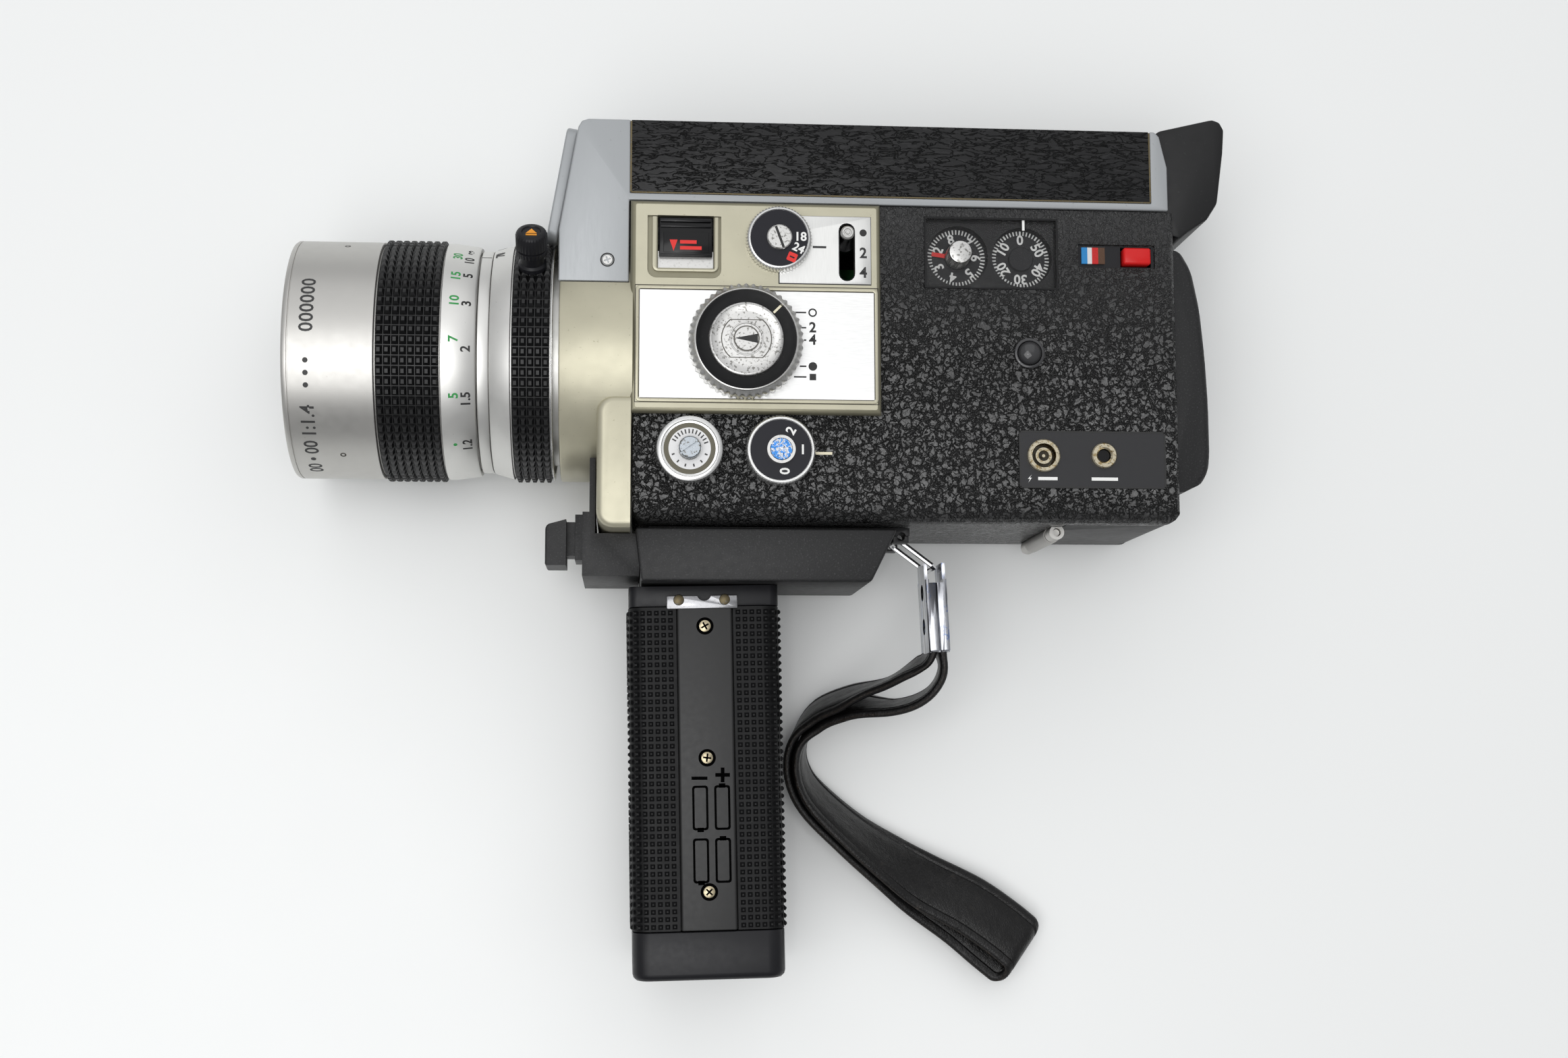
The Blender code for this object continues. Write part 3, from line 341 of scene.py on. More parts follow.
def ink(name, colour):
    """Printed or filled marks."""
    s = Surface(name, colour, 0.5)
    s.rough(s.noise(0.4, 2.0), 0.42, 0.62)
    return s.material


def clear(name, colour, alpha, roughness=0.04):
    s = Surface(name, colour, roughness, gloss=0.35)
    s.shader.inputs["Alpha"].default_value = alpha
    s.rough(s.noise(4.0, 3.0), roughness, roughness + 0.05)
    return s.material


def coated_glass():
    """Deep purple lens glass under a clear coat, with a painted amber coating reflection at glancing angles.
    """
    s = Surface("coated_glass", (0.035, 0.020, 0.045), 0.03)
    # painted reflection: amber mixed into the colour where the glass is seen edge-on
    facing = s.node("ShaderNodeLayerWeight", {"Blend": 0.4}).outputs["Facing"]
    s.tint(facing, (0.10, 0.06, 0.02))
    s.shader.inputs["Coat Weight"].default_value = 1.0
    s.shader.inputs["Coat Roughness"].default_value = 0.02
    return s.material


LOOK = {
    "wrinkle": wrinkle_paint(),
    "champagne": champagne_paint(),
    "silver": silver_paint(),
    "ring": ring_metal(),
    "ring_pale": ring_metal("pale_ring", (0.76, 0.755, 0.73), 0.42),
    "ring_bright": ring_metal("bright_ring", (0.82, 0.82, 0.81), 0.24),
    "dial": dial_metal("dial_metal"),
    "pitted": dial_metal("pitted_dial_metal", (0.60, 0.595, 0.58), 0.30, 0.8),
    "edge": dial_metal("bright_dial_edge", (0.70, 0.70, 0.69), 0.22, 0.1),
    "plate": brushed_plate("white_brushed_plate", (0.90, 0.90, 0.89), (0.05, 1, 1)),
    "upper": brushed_plate("silver_brushed_plate", (0.80, 0.80, 0.78), (1, 0.04, 1)),
    "chrome": chrome(),
    "worn_chrome": worn_chrome(),
    "nickel": nickel(),
    "rubber": rubber(),
    "lens_rubber": rubber("lens_rubber", (0.004, 0.004, 0.0045), 0.5),
    "eyecup": rubber("eyecup_rubber", (0.005, 0.005, 0.0055), 0.4),
    "plastic": grained_plastic(),
    "leatherette": leatherette_skin(),
    "hide": strap_hide(),
    "hide_inner": strap_hide("strap_lining", (0.012, 0.009, 0.007), (0.05, 0.036, 0.026)),
    "black": gloss("black_gloss", (0.004, 0.004, 0.0045)),
    "satin_black": gloss("satin_black", (0.008, 0.008, 0.010), 0.36),
    "navy": gloss("dial_face", (0.005, 0.005, 0.010), 0.32),
    "red": gloss("red_plastic", (0.62, 0.012, 0.012), 0.24),
    "blue": gloss("blue_plastic", (0.02, 0.26, 0.62), 0.2),
    "olive": gloss("olive_face", (0.13, 0.12, 0.085), 0.4),
    "white_plastic": gloss("white_plastic", (0.80, 0.80, 0.80), 0.25),
    "blue_steel": blued_screw(),
    "tarnished": dial_metal("tarnished_screw", (0.36, 0.39, 0.42), 0.24, 1.0),
    # painted shade: dark brown for the shade in grooves and socket bores
    "groove": ink("groove_and_bore_painted_shade", (0.045, 0.038, 0.025)),
    # painted shade: a darker copy of the champagne paint for the panel's sloped sides, which face away from
    # the light
    "shade": champagne_paint("champagne_painted_shade", (0.25, 0.235, 0.165)),
    "white": ink("white_paint", (0.86, 0.86, 0.84)),
    "cream": ink("cream_paint", (0.80, 0.74, 0.55)),
    "ink": ink("black_paint_fill", (0.012, 0.012, 0.012)),
    "grey_ink": ink("grey_paint_fill", (0.035, 0.035, 0.035)),
    "green": ink("green_paint_fill", (0.03, 0.30, 0.07)),
    "red_ink": ink("red_paint_fill", (0.75, 0.02, 0.015)),
    "orange": ink("orange_paint_fill", (0.85, 0.33, 0.02)),
    "brass": dial_metal("brass_edge", (0.13, 0.105, 0.06), 0.40, 0.7),
    "amber": gloss("amber_plastic", (0.10, 0.045, 0.02), 0.2),
    "clear": clear("clear_plastic", (0.10, 0.10, 0.10), 0.10),
    "lens": coated_glass(),
    "dark_metal": dial_metal("dark_metal", (0.09, 0.085, 0.075), 0.32, 0.3),
    "dome": gloss("dome_gloss", (0.035, 0.035, 0.037), 0.08, 0.6),
    "jack": gloss("jack_plate", (0.028, 0.028, 0.030), 0.34),
    "strip": gloss("strip_plastic", (0.021, 0.021, 0.021), 0.42, 0.4),
    # a near-black for painted shade in gaps, counterbores and screw crosses, and for moulded marks
    "shade_and_mark_black": gloss("deep_black_shade_and_marks", (0.0008, 0.0008, 0.0008), 0.8, 0.02),
    "brass_screw": dial_metal("brass_screw", (0.46, 0.40, 0.27), 0.26, 0.5),
    "mirror": dial_metal("dark_mirror", (0.30, 0.30, 0.31), 0.14, 0.2),
}


# ---- Shapes ----------------------------------------------------------------------------------

THROUGH = (50, 90)        # heights of a cut that goes right through a thin plate on the left side


def block(x, y, z, bevel=0.0, segments=2, along=None):
    """A box from (low, high) pairs; along='z' bevels only the edges that run that way."""
    shape = bmesh.new()
    bmesh.ops.create_cube(shape, size=1.0)
    bmesh.ops.scale(shape, vec=(x[1] - x[0], y[1] - y[0], z[1] - z[0]), verts=shape.verts)
    bmesh.ops.translate(shape, vec=(sum(x) / 2, sum(y) / 2, sum(z) / 2), verts=shape.verts)
    if bevel:
        index = "xyz".index(along) if along else None
        edges = [e for e in shape.edges
                 if index is None or abs((e.verts[0].co - e.verts[1].co)[index]) > 1e-6]
        bevel_edges(shape, edges, bevel, segments)
    return shape


def grown(corners, margin=0.0):
    """The x and y ranges of a box, grown by a margin."""
    low, high = corners
    return (low.x - margin, high.x + margin), (low.y - margin, high.y + margin)


def bevel_edges(shape, edges, width, segments=2):
    bmesh.ops.bevel(shape, geom=edges, offset=width, offset_type="OFFSET", segments=segments,
                    profile=0.5, affect="EDGES", clamp_overlap=True)


def edges_near(shape, test):
    return [e for e in shape.edges if test(e.verts[0].co) and test(e.verts[1].co)]


def uprights_near(shape, test):
    """The edges that run along Z."""
    return [e for e in edges_near(shape, test) if abs(e.verts[0].co.z - e.verts[1].co.z) > 1]


def prism(outline, z):
    """An outline in X and Y between two heights."""
    shape = bmesh.new()
    low = [shape.verts.new((px, py, z[0])) for px, py in outline]
    high = [shape.verts.new((px, py, z[1])) for px, py in outline]
    shape.faces.new(low)
    shape.faces.new(high)
    for i in range(len(outline)):
        j = (i + 1) % len(outline)
        shape.faces.new((low[i], low[j], high[j], high[i]))
    bmesh.ops.recalc_face_normals(shape, faces=shape.faces)
    return shape


def turned(profile, axis, centre, segments=96, teeth=0, depth=0.0):
    """A turned solid from (distance along the axis, radius) points. A radius of 0 closes an end;
    without one the profile is a ring's closed section. A third value marks the points that the
    teeth wave in and out by depth."""
    shape = bmesh.new()
    turn = Vector(Z).rotation_difference(Vector(axis)).to_matrix()
    rings = []
    for point in profile:
        along, radius = point[0], point[1]
        if radius == 0:
            rings.append([shape.verts.new(turn @ Vector((0, 0, along)))])
            continue
        ring = []
        for k in range(segments):
            angle = 2 * math.pi * k / segments
            r = radius
            if len(point) > 2:
                r -= depth * point[2] * (0.5 - 0.5 * math.cos(teeth * angle))
            ring.append(shape.verts.new(turn @ Vector((r * math.cos(angle), r * math.sin(angle), along))))
        rings.append(ring)
    pairs = list(zip(rings, rings[1:]))
    if profile[0][1] and profile[-1][1]:
        pairs.append((rings[-1], rings[0]))
    for first, second in pairs:
        for k in range(segments):
            n = (k + 1) % segments
            corners = [first[k % len(first)], first[n % len(first)],
                       second[n % len(second)], second[k % len(second)]]
            shape.faces.new(list(dict.fromkeys(corners)))
    bmesh.ops.translate(shape, vec=Vector(centre), verts=shape.verts)
    bmesh.ops.recalc_face_normals(shape, faces=shape.faces)
    return shape


def lens_ring(profile, segments=192):
    return turned(profile, X, (0, AXIS_Y, AXIS_Z), segments)


def dial(place, profile, segments=96, teeth=0, depth=0.0):
    """A turned control on the left side; the profile's first values are heights Z."""
    return turned(profile, Z, (place.x, place.y, 0), segments, teeth, depth)


def disc(place, low, high, radius, segments=96):
    return dial(place, [(low, 0), (low, radius), (high, radius), (high, 0)], segments)


def washer(place, low, high, inner, outer, segments=96):
    return dial(place, [(low, inner), (low, outer), (high, outer), (high, inner)], segments)


def rod(start, end, radius, axis, centre, segments=48):
    return turned([(start, 0), (start, radius), (end, radius), (end, 0)], axis, centre, segments)


def hole(place, radius):
    return rod(*THROUGH, radius, Z, (place.x, place.y, 0))


def rotated(shape, angle, axis, centre):
    bmesh.ops.rotate(shape, cent=Vector(centre), matrix=Matrix.Rotation(angle, 3, axis), verts=shape.verts)
    return shape


def joined(*shapes):
    """Several shapes as the shells of one."""
    whole = bmesh.new()
    for shape in shapes:
        mesh = bpy.data.meshes.new("part")
        shape.to_mesh(mesh)
        shape.free()
        whole.from_mesh(mesh)
        bpy.data.meshes.remove(mesh)
    return whole


def store(name, shape):
    bmesh.ops.scale(shape, vec=(MM, MM, MM), verts=shape.verts)
    mesh = bpy.data.meshes.new(name)
    shape.to_mesh(mesh)
    shape.free()
    made = bpy.data.objects.new(name, mesh)
    bpy.context.scene.collection.objects.link(made)
    return made


def applied(made):
    """The object with its modifiers made real."""
    bpy.context.view_layer.update()
    seen = made.evaluated_get(bpy.context.evaluated_depsgraph_get())
    mesh = bpy.data.meshes.new_from_object(seen)
    made.modifiers.clear()
    made.data = mesh
    return made


def carved(shape, cut=(), add=()):
    """A shape with others joined to it and tools cut from it."""
    made = store("carving", shape)
    helpers = []
    for operation, tools in (("UNION", add), ("DIFFERENCE", cut)):
        for tool in tools:
            helper = store("tool", tool)
            helpers.append(helper)
            step = made.modifiers.new("step", "BOOLEAN")
            step.operation, step.object, step.solver = operation, helper, "EXACT"
    applied(made)
    result = bmesh.new()
    result.from_mesh(made.data)
    bmesh.ops.scale(result, vec=(1 / MM, 1 / MM, 1 / MM), verts=result.verts)
    bmesh.ops.dissolve_limit(result, angle_limit=math.radians(0.5), verts=result.verts, edges=result.edges)
    for used in [made] + helpers:
        bpy.data.objects.remove(used)
    return result


BEVELLED_FROM, SHARP_FROM = math.radians(32), math.radians(38)      # angles between faces


def piece(name, shape, look, node, bevel=0.0, segments=2, stands_for=()):
    """Store a shape as a piece that rides with a CAD node's body, in the material of the given look."""
    made = store(name, shape)
    made.data.materials.append(LOOK[look])
    if bevel:
        step = made.modifiers.new("edges", "BEVEL")
        step.width, step.segments, step.limit_method = bevel * MM, segments, "ANGLE"
        step.angle_limit = BEVELLED_FROM
        step.harden_normals = False
        applied(made)
    made.data.shade_smooth()
    made.data.set_sharp_from_angle(angle=SHARP_FROM)
    if stands_for:
        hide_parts(*stands_for)
    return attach(made, BODY_OF[node])


def stand_in(name, shape, look, node, bevel=0.0, segments=2):
    """A piece that replaces the CAD node it rides with."""
    return piece(name, shape, look, node, bevel, segments, [node])


def copied(node):
    """A CAD node's solid as a shape, with its flat faces whole again."""
    shape = bmesh.new()
    shape.from_mesh(frame["nodes"][node].data)
    bmesh.ops.scale(shape, vec=(1 / MM, 1 / MM, 1 / MM), verts=shape.verts)
    bmesh.ops.remove_doubles(shape, verts=shape.verts, dist=0.002)
    bmesh.ops.dissolve_limit(shape, angle_limit=math.radians(0.5), verts=shape.verts, edges=shape.edges)
    return shape


def refined(node, look, bevel=0.3, segments=2):
    """A CAD node's own shape with its edges broken."""
    return stand_in(node + "_shell", copied(node), look, node, bevel, segments)


# ---- Marks -----------------------------------------------------------------------------------

def glyphs(text, height, bold=0.035):
    """Text as a thin shape centred on the origin, lying in X and Y."""
    curve = bpy.data.curves.new("text", "FONT")
    curve.body = text
    curve.size = height * 1.38
    curve.align_x, curve.align_y = "CENTER", "CENTER"
    curve.extrude = 0.02
    curve.offset = height * bold
    curve.resolution_u = 3
    holder = bpy.data.objects.new("text", curve)
    bpy.context.scene.collection.objects.link(holder)
    bpy.context.view_layer.update()
    mesh = bpy.data.meshes.new_from_object(holder.evaluated_get(bpy.context.evaluated_depsgraph_get()))
    shape = bmesh.new()
    shape.from_mesh(mesh)
    bpy.data.objects.remove(holder)
    return shape


def on_face(shape, place, height, angle=0.0):
    """Lay a flat shape on a face that looks along +Z."""
    bmesh.ops.rotate(shape, cent=(0, 0, 0), matrix=Matrix.Rotation(angle, 3, "Z"), verts=shape.verts)
    bmesh.ops.translate(shape, vec=(place[0], place[1], height), verts=shape.verts)
    return shape


def on_ring(shape, x, radius, angle, slope=0.0):
    """Wrap a flat shape around the lens: its right runs up the ring and its top towards the front.
    The angle is from +Y towards +Z; slope is how the radius grows with X."""
    for vertex in shape.verts:
        along, up, out = vertex.co
        here = radius - up * slope + out
        turn = angle - along / radius
        vertex.co = (x - up, AXIS_Y + here * math.cos(turn), AXIS_Z + here * math.sin(turn))
    return shape


def ring_text(name, entries, size, x, radius, look, node, slope=0.0, bold=0.035):
    """Printed marks around the lens: (text, angle in degrees) each, as one piece."""
    shapes = [on_ring(glyphs(words, size, bold), x, radius, math.radians(angle), slope)
              for words, angle in entries]
    return piece(name, joined(*shapes), look, node)


def text(name, entries, look, node):
    """Printed marks: (text, height, place, top, angle in degrees) each, as one piece."""
    shapes = [on_face(glyphs(words, size), place, top, math.radians(angle))
              for words, size, place, top, angle in entries]
    return piece(name, joined(*shapes), look, node)


def bars(name, entries, look, node, thick=0.05):
    """Straight marks on a face: ((x, y) start, end, width, top) each, as one piece."""
    shapes = []
    for start, end, width, top in entries:
        run = Vector(end) - Vector(start)
        bar = block((-run.length / 2, run.length / 2), (-width / 2, width / 2), (0, thick))
        centre = (Vector(start) + Vector(end)) / 2
        shapes.append(on_face(bar, centre, top - thick / 2, math.atan2(run.y, run.x)))
    return piece(name, joined(*shapes), look, node)


def around(place, radius, degrees):
    angle = math.radians(degrees)
    return (place.x + radius * math.cos(angle), place.y + radius * math.sin(angle))


def screw_head(place, top, radius, cross=True, angle=20.0, depth=0.5):
    """A countersunk head with a cross or a slot."""
    head = dial(place, [(top - 1.2, 0), (top - 1.2, radius), (top - 0.25, radius), (top, radius - 0.3),
                        (top, 0)], 40)
    arms = (0, 90) if cross else (0,)
    width, reach = (0.42, radius * 0.62) if cross else (0.55, radius * 1.1)
    slots = []
    for arm in arms:
        slot = block((-reach, reach), (-width / 2, width / 2), (-depth, 1))
        slots.append(on_face(slot, (place.x, place.y), top, math.radians(angle + arm)))
    return carved(head, cut=slots)


# ---- Lens ------------------------------------------------------------------------------------

STUD_PITCH = 2.8          # around a rubber ring
INDEX_ANGLE = math.radians(33.7)


def studded_ring(name, node, columns, base_r, stud_height):
    """A rubber sleeve with rows of low pyramids whose tips are cut off."""
    low, high = span(node)
    sleeve = lens_ring([(low.x, base_r - 0.6), (low.x, base_r), (high.x, base_r), (high.x, base_r - 0.6)])
    width = (high.x - low.x) / columns
    rows = round(2 * math.pi * base_r / STUD_PITCH)
    studs = bmesh.new()
    for row in range(rows):
        angle = 2 * math.pi * row / rows
        for column in range(columns):
            x = low.x + (column + 0.5) * width
            corners = []
            for share, radius in ((0.47, base_r - 0.1), (0.20, base_r + stud_height)):
                for a, b in ((-1, -1), (1, -1), (1, 1), (-1, 1)):
                    turn = angle + b * share * 2 * math.pi / rows
                    corners.append(studs.verts.new((x + a * share * width, AXIS_Y + radius * math.cos(turn),
                                                    AXIS_Z + radius * math.sin(turn))))
            studs.faces.new(corners[:4])
            studs.faces.new(corners[4:])
            for k in range(4):
                n = (k + 1) % 4
                studs.faces.new((corners[k], corners[n], corners[4 + n], corners[4 + k]))
    bmesh.ops.recalc_face_normals(studs, faces=studs.faces)
    return stand_in(name, joined(sleeve, studs), "lens_rubber", node)


def barrel():
    front, end = span("lens_barrel")[0].x, span("lens_barrel")[1].x
    rim = [(front, 31.6), (front, 32.9), (front + 0.25, 33.6), (front + 0.9, BARREL_R)]
    skirt = [(front + 1.6, BARREL_R), (front + 1.7, BARREL_R - 0.25), (front + 1.9, BARREL_R - 0.25),
             (front + 2.0, BARREL_R), (-137.3, BARREL_R), (-137.0, BARREL_R - 0.4), (-137.0, 33.0),
             (-119.4, 33.0), (end, 30.8), (end, 29.4), (-147.0, 29.4), (-147.0, 31.2)]
    threads = []
    for turn in range(10):
        x = -149.0 - turn * 1.0
        threads += [(x, 31.6), (x - 0.5, 31.1)]
    stand_in("barrel", lens_ring(rim + skirt + threads), "ring", "lens_barrel")
    heads = []
    for angle in (30.3, 151.5, 272.0):
        turn = math.radians(angle)
        out = (0, math.cos(turn), math.sin(turn))
        head = [(33.2, 0), (33.2, 0.85), (34.03, 0.85), (34.03, 0.45), (33.6, 0.3), (33.6, 0)]
        heads.append(turned(head, out, (-146.8, AXIS_Y, AXIS_Z), 24))
    entries = [("0", 62.5 + 4.7 * k) for k in range(6)] + [("• • •", 107.0), ("1:1.4", 131.0),
                                                           ("00 • 00", 155.0)]
    ring_text("barrel_marks", entries, 3.9, -155.0, BARREL_R, "grey_ink", "lens_barrel", bold=0.02)
    piece("barrel_screws", joined(*heads), "dark_metal", "lens_barrel")


def distance_scale():
    start, end = span("distance_scale_ring")[0].x, span("distance_scale_ring")[1].x
    cone = (-117.0, -110.2)
    profile = [(start, 32.2), (start, 33.8), (start + 0.2, BARREL_R), (cone[0], BARREL_R), (cone[1], 33.1),
               (end, 32.7), (end, 31.2)]
    stand_in("distance_scale", lens_ring(profile), "ring_pale", "distance_scale_ring")
    slope = (33.1 - BARREL_R) / (cone[1] - cone[0])
    near = [("30", 40.0), ("15", 56.5), ("10", 71.5), ("7", 90.5), ("5", 117.0), ("•", 143.8)]
    far = [("∞", 33.5), ("10", 43.5), ("5", 55.5), ("3", 72.5), ("2", 95.0), ("1.5", 119.0), ("1.2", 144.8)]
    for name, entries, x, look in (("near_scale", near, -115.5, "green"), ("far_scale", far, -112.2, "ink")):
        radius = BARREL_R + slope * (x - cone[0])
        ring_text(name, entries, 2.6, x, radius, look, "distance_scale_ring", slope)


def ring_mark(x, radius, angle):
    """A straight line along the lens, on a ring."""
    bar = block(x, (radius - 0.2, radius + 0.03), (-0.175, 0.175))
    rotated(bar, angle, "X", (0, 0, 0))
    bmesh.ops.translate(bar, vec=(0, AXIS_Y, AXIS_Z), verts=bar.verts)
    return bar


def index_tube():
    low, high = span("lens_tube")
    front, back = low.x, high.x
    profile = [(front, 26.0), (front, 31.8), (front + 0.2, 32.0), (-106.6, 32.0), (-106.3, 31.8),
               (-106.3, 29.6), (-72.5, 29.6), (-72.5, 31.1), (-69.5, 31.1), (-69.5, 23.0), (back, 23.0),
               (back, 14.5), (back - 2, 14.5), (back - 2, 21.0), (-71.5, 21.0), (-71.5, 26.0)]
    stand_in("index_tube", lens_ring(profile), "ring_pale", "lens_tube")
    piece("index_line", ring_mark((front + 0.1, -106.5), 32.0, INDEX_ANGLE), "ink", "lens_tube")


def zoom_group():
    profile = [(-106.0, 30.0), (-106.0, 32.0), (-105.8, 32.2), (-100.7, 33.7), (-100.4, 33.8), (-100.2, 33.4),
               (-100.2, 33.0), (-89.3, 33.0), (-89.3, 30.0)]
    stand_in("zoom_scale", lens_ring(profile), "ring_pale", "zoom_ring")
    collar = [(-89.25, 32.0), (-89.25, 33.9), (-89.1, 34.1), (-88.9, 34.1), (-88.75, 33.9), (-88.75, 32.0)]
    piece("zoom_collar", lens_ring(collar), "ring_bright", "zoom_ring")
    slope = (33.8 - 32.2) / 5.6
    entries = [("70", 32.8), ("50", 14.0), ("40", -2.0), ("30", -20.0), ("20", -40.0), ("15", -58.0),
               ("10", -76.0), ("7", -95.0)]
    ring_text("zoom_numbers", entries, 2.5, -104.0, 32.2 + slope * 2.0, "ink", "zoom_ring", slope)


def zoom_lever():
    """A stepped cap on a post, with fine ribs around it and a plain mark on its end."""
    angle = math.radians(50.0)
    out = (0, math.cos(angle), math.sin(angle))
    foot = (middle("zoom_lever").x, AXIS_Y, AXIS_Z)
    profile = [(34.4, 0), (34.4, 3.9), (35.6, 3.9), (36.2, 3.3), (38.8, 3.3), (39.2, 4.3, 1), (40.6, 4.4, 1),
               (40.8, 3.9), (41.1, 3.9), (41.3, 4.4, 1), (45.2, 4.4, 1), (45.9, 4.0), (46.2, 3.4),
               (46.2, 2.7), (45.9, 2.5), (45.9, 0)]
    stand_in("lever_cap", turned(profile, out, foot, 120, 30, 0.16), "satin_black", "zoom_lever")
    arrow = prism([(-1.5, -0.5), (1.5, -0.5), (0, 1.6)], (0, 0.08))
    bar = block((-1.5, 1.5), (-1.5, -0.95), (0, 0.08))
    mark = joined(arrow, bar)
    bmesh.ops.transform(mark, verts=mark.verts, matrix=(
        Matrix.Translation(Vector(foot) + Vector(out) * 45.92)
        @ Vector(Z).rotation_difference(Vector(out)).to_matrix().to_4x4()))
    piece("lever_mark", mark, "orange", "zoom_lever")


def front_glass():
    cell = [(-156.0, 27.4), (-156.0, 28.4)]
    for step in range(6):
        x = -156.0 + step * 0.5
        cell += [(x, 28.5 + step * 0.38), (x + 0.5, 28.5 + step * 0.38)]
    cell += [(-152.6, 30.7), (-147.6, 30.7), (-147.6, 26.0), (-149.0, 26.0), (-149.0, 27.4)]
    stand_in("front_cell_ring", lens_ring(cell), "satin_black", "front_cell")
    steps = 14
    radius, rim = 60.0, 27.1
    front = []
    for k in range(steps + 1):
        r = rim * k / steps
        front.append((-157.6 + radius - math.sqrt(radius ** 2 - r ** 2), r))
    profile = front + [(-149.3, rim), (-150.0, 20.0), (-150.6, 12.0), (-151.2, 0)]
    stand_in("front_lens", lens_ring(profile, 128), "lens", "front_element")


def lens():
    barrel()
    studded_ring("focus_rubber", "focus_grip", 8, 33.4, 1.25)
    distance_scale()
    index_tube()
    zoom_group()
    studded_ring("zoom_rubber", "zoom_grip", 5, 33.4, 1.2)
    zoom_lever()
    front_glass()


# ---- Body ------------------------------------------------------------------------------------

def housing():
    """The champagne drum around the lens and the rounded post beside the trigger."""
    low, high = span("front_housing")
    front, back = low.x, high.x
    outer = BARREL_R + 0.3
    drum = lens_ring([(front, 31.4), (front, outer - 0.5), (front + 0.15, outer - 0.15), (front + 0.5, outer),
                      (back, outer), (back, 31.4)])
    face = PANEL_TOP - 0.4
    post = block((-76.4, -67.1), (low.y, -22.7), (4.8, face))
    bevel_edges(post, uprights_near(post, lambda c: c.x < -76), 4.6, 8)
    rim = [e for e in edges_near(post, lambda c: c.z > face - 0.1) if min(v.co.x for v in e.verts) < -67.5]
    bevel_edges(post, rim, 1.9, 5)
    inside = rod(front - 5, back + 5, 31.4, X, (0, AXIS_Y, AXIS_Z), 192)
    sides = [block((-90, -60), (9.2, 40), (COVER_FACE - 1.9, 90)), block((-90, -60), (9.2, 40), (-10, 6.7))]
    shape = carved(drum, cut=[inside] + sides, add=[post])
    stand_in("housing_shell", shape, "champagne", "front_housing")


def casing():
    refined("left_casing", "wrinkle", 0.6, 3)
    refined("right_cover", "satin_black", 0.4)


def top():
    refined("top_cover", "silver", 0.45, 3)
    low, high = span("leatherette")
    refined("leatherette", "leatherette", 0.3)
    top_y = high.y
    edge = COVER_FACE + 0.04
    entries = [((low.x - 0.1, low.y), (low.x - 0.1, top_y - 0.4), 0.45, edge),
               ((high.x + 0.1, low.y), (high.x + 0.1, top_y - 0.4), 0.45, edge),
               ((low.x, low.y - 0.1), (high.x, low.y - 0.1), 0.4, edge)]
    bars("leatherette_edge", entries, "brass", "leatherette")
    plate = block((-91.0, -87.8), (22.4, 56.0), (11.5, 57.9), 3.0, 4, "x")
    rotated(plate, -math.atan2(5.1, 29.6), "Z", (-87.4, 24.0, 0))
    scoop = rod(-100, -80, BARREL_R + 1.2, X, (0, AXIS_Y, AXIS_Z), 96)
    stand_in("front_shield", carved(plate, cut=[scoop]), "silver", "front_plate", 0.6, 3)
    screw = Vector((-73.9, 15.6, 0))
    piece("cover_screw", screw_head(screw, COVER_FACE + 0.16, 1.6, True, 20.0, 0.8), "dial", "top_cover")
    # painted shade: a dark ring in the gap round the screw head
    piece("screw_ring_shade", washer(screw, COVER_FACE - 0.3, COVER_FACE + 0.03, 1.6, 2.0, 48), "ink", "top_cover")


SHAFT_R = 2.4             # radius of the holes under the dials


def slide_slot(half, heights, corner):
    """The slot that the shutter lever runs in; half is half its width."""
    return block((SLIDE.x - half, SLIDE.x + half), (SLIDE.y - 11.1 - half, SLIDE.y + 0.9 + half), heights,
                 corner, 5, "z")


def step_round_key():
    """The sunken step that surrounds the rim of the slow-motion key."""
    step = block((KEY[0].x - 3.2, KEY[1].x + 2.4), (10.3, 27.9), (PANEL_TOP - 1.0, 90))
    bevel_edges(step, uprights_near(step, lambda c: c.y < 11), 2.4, 5)
    return step


def panel():
    low, high = span("control_panel")
    key_low, key_high = KEY
    shell = block((low.x - 0.7, high.x), (low.y, high.y), (low.z, PANEL_TOP - 0.12))
    bevel_edges(shell, edges_near(shell, lambda c: c.z > PANEL_TOP - 0.2), 1.7, 5)
    face = block((low.x + 0.7, high.x - 1.2), (low.y + 1.2, high.y - 1.2), (PANEL_TOP - 0.3, PANEL_TOP), 0.5,
                 2, "z")
    well = block((key_low.x - 0.4, key_high.x + 0.4), (13.3, 28.0), THROUGH)
    bed = block(*grown(PLATE, 0.2), (PANEL_TOP - 0.7, 90))
    tools = [step_round_key(), well, bed, slide_slot(2.2, THROUGH, 2.1), hole(SPEED, SHAFT_R),
             hole(FADE, SHAFT_R)]
    piece("panel_face", carved(face, cut=[tool.copy() for tool in tools]), "champagne", "control_panel",
          0.08, 1)
    # painted shade: the panel's bevelled sides and skirt take the darker shade copy of the champagne
    stand_in("panel_shell", carved(shell, cut=tools), "shade", "control_panel")
    # painted shade: dark lines on the panel where the grooves round the white plate hold shade
    grooves = []
    top = PANEL_TOP + 0.02
    for (x0, x1), (y0, y1) in (grown(PLATE, 1.15), grown(PLATE)):
        grooves += [((x0, y0), (x1, y0), 0.22, top), ((x0, y1), (x1, y1), 0.26, top),
                    ((x0, y0), (x0, y1), 0.22, top), ((x1, y0), (x1, y1), 0.22, top)]
    bars("panel_groove_shade_lines", grooves, "groove", "control_panel", 0.06)


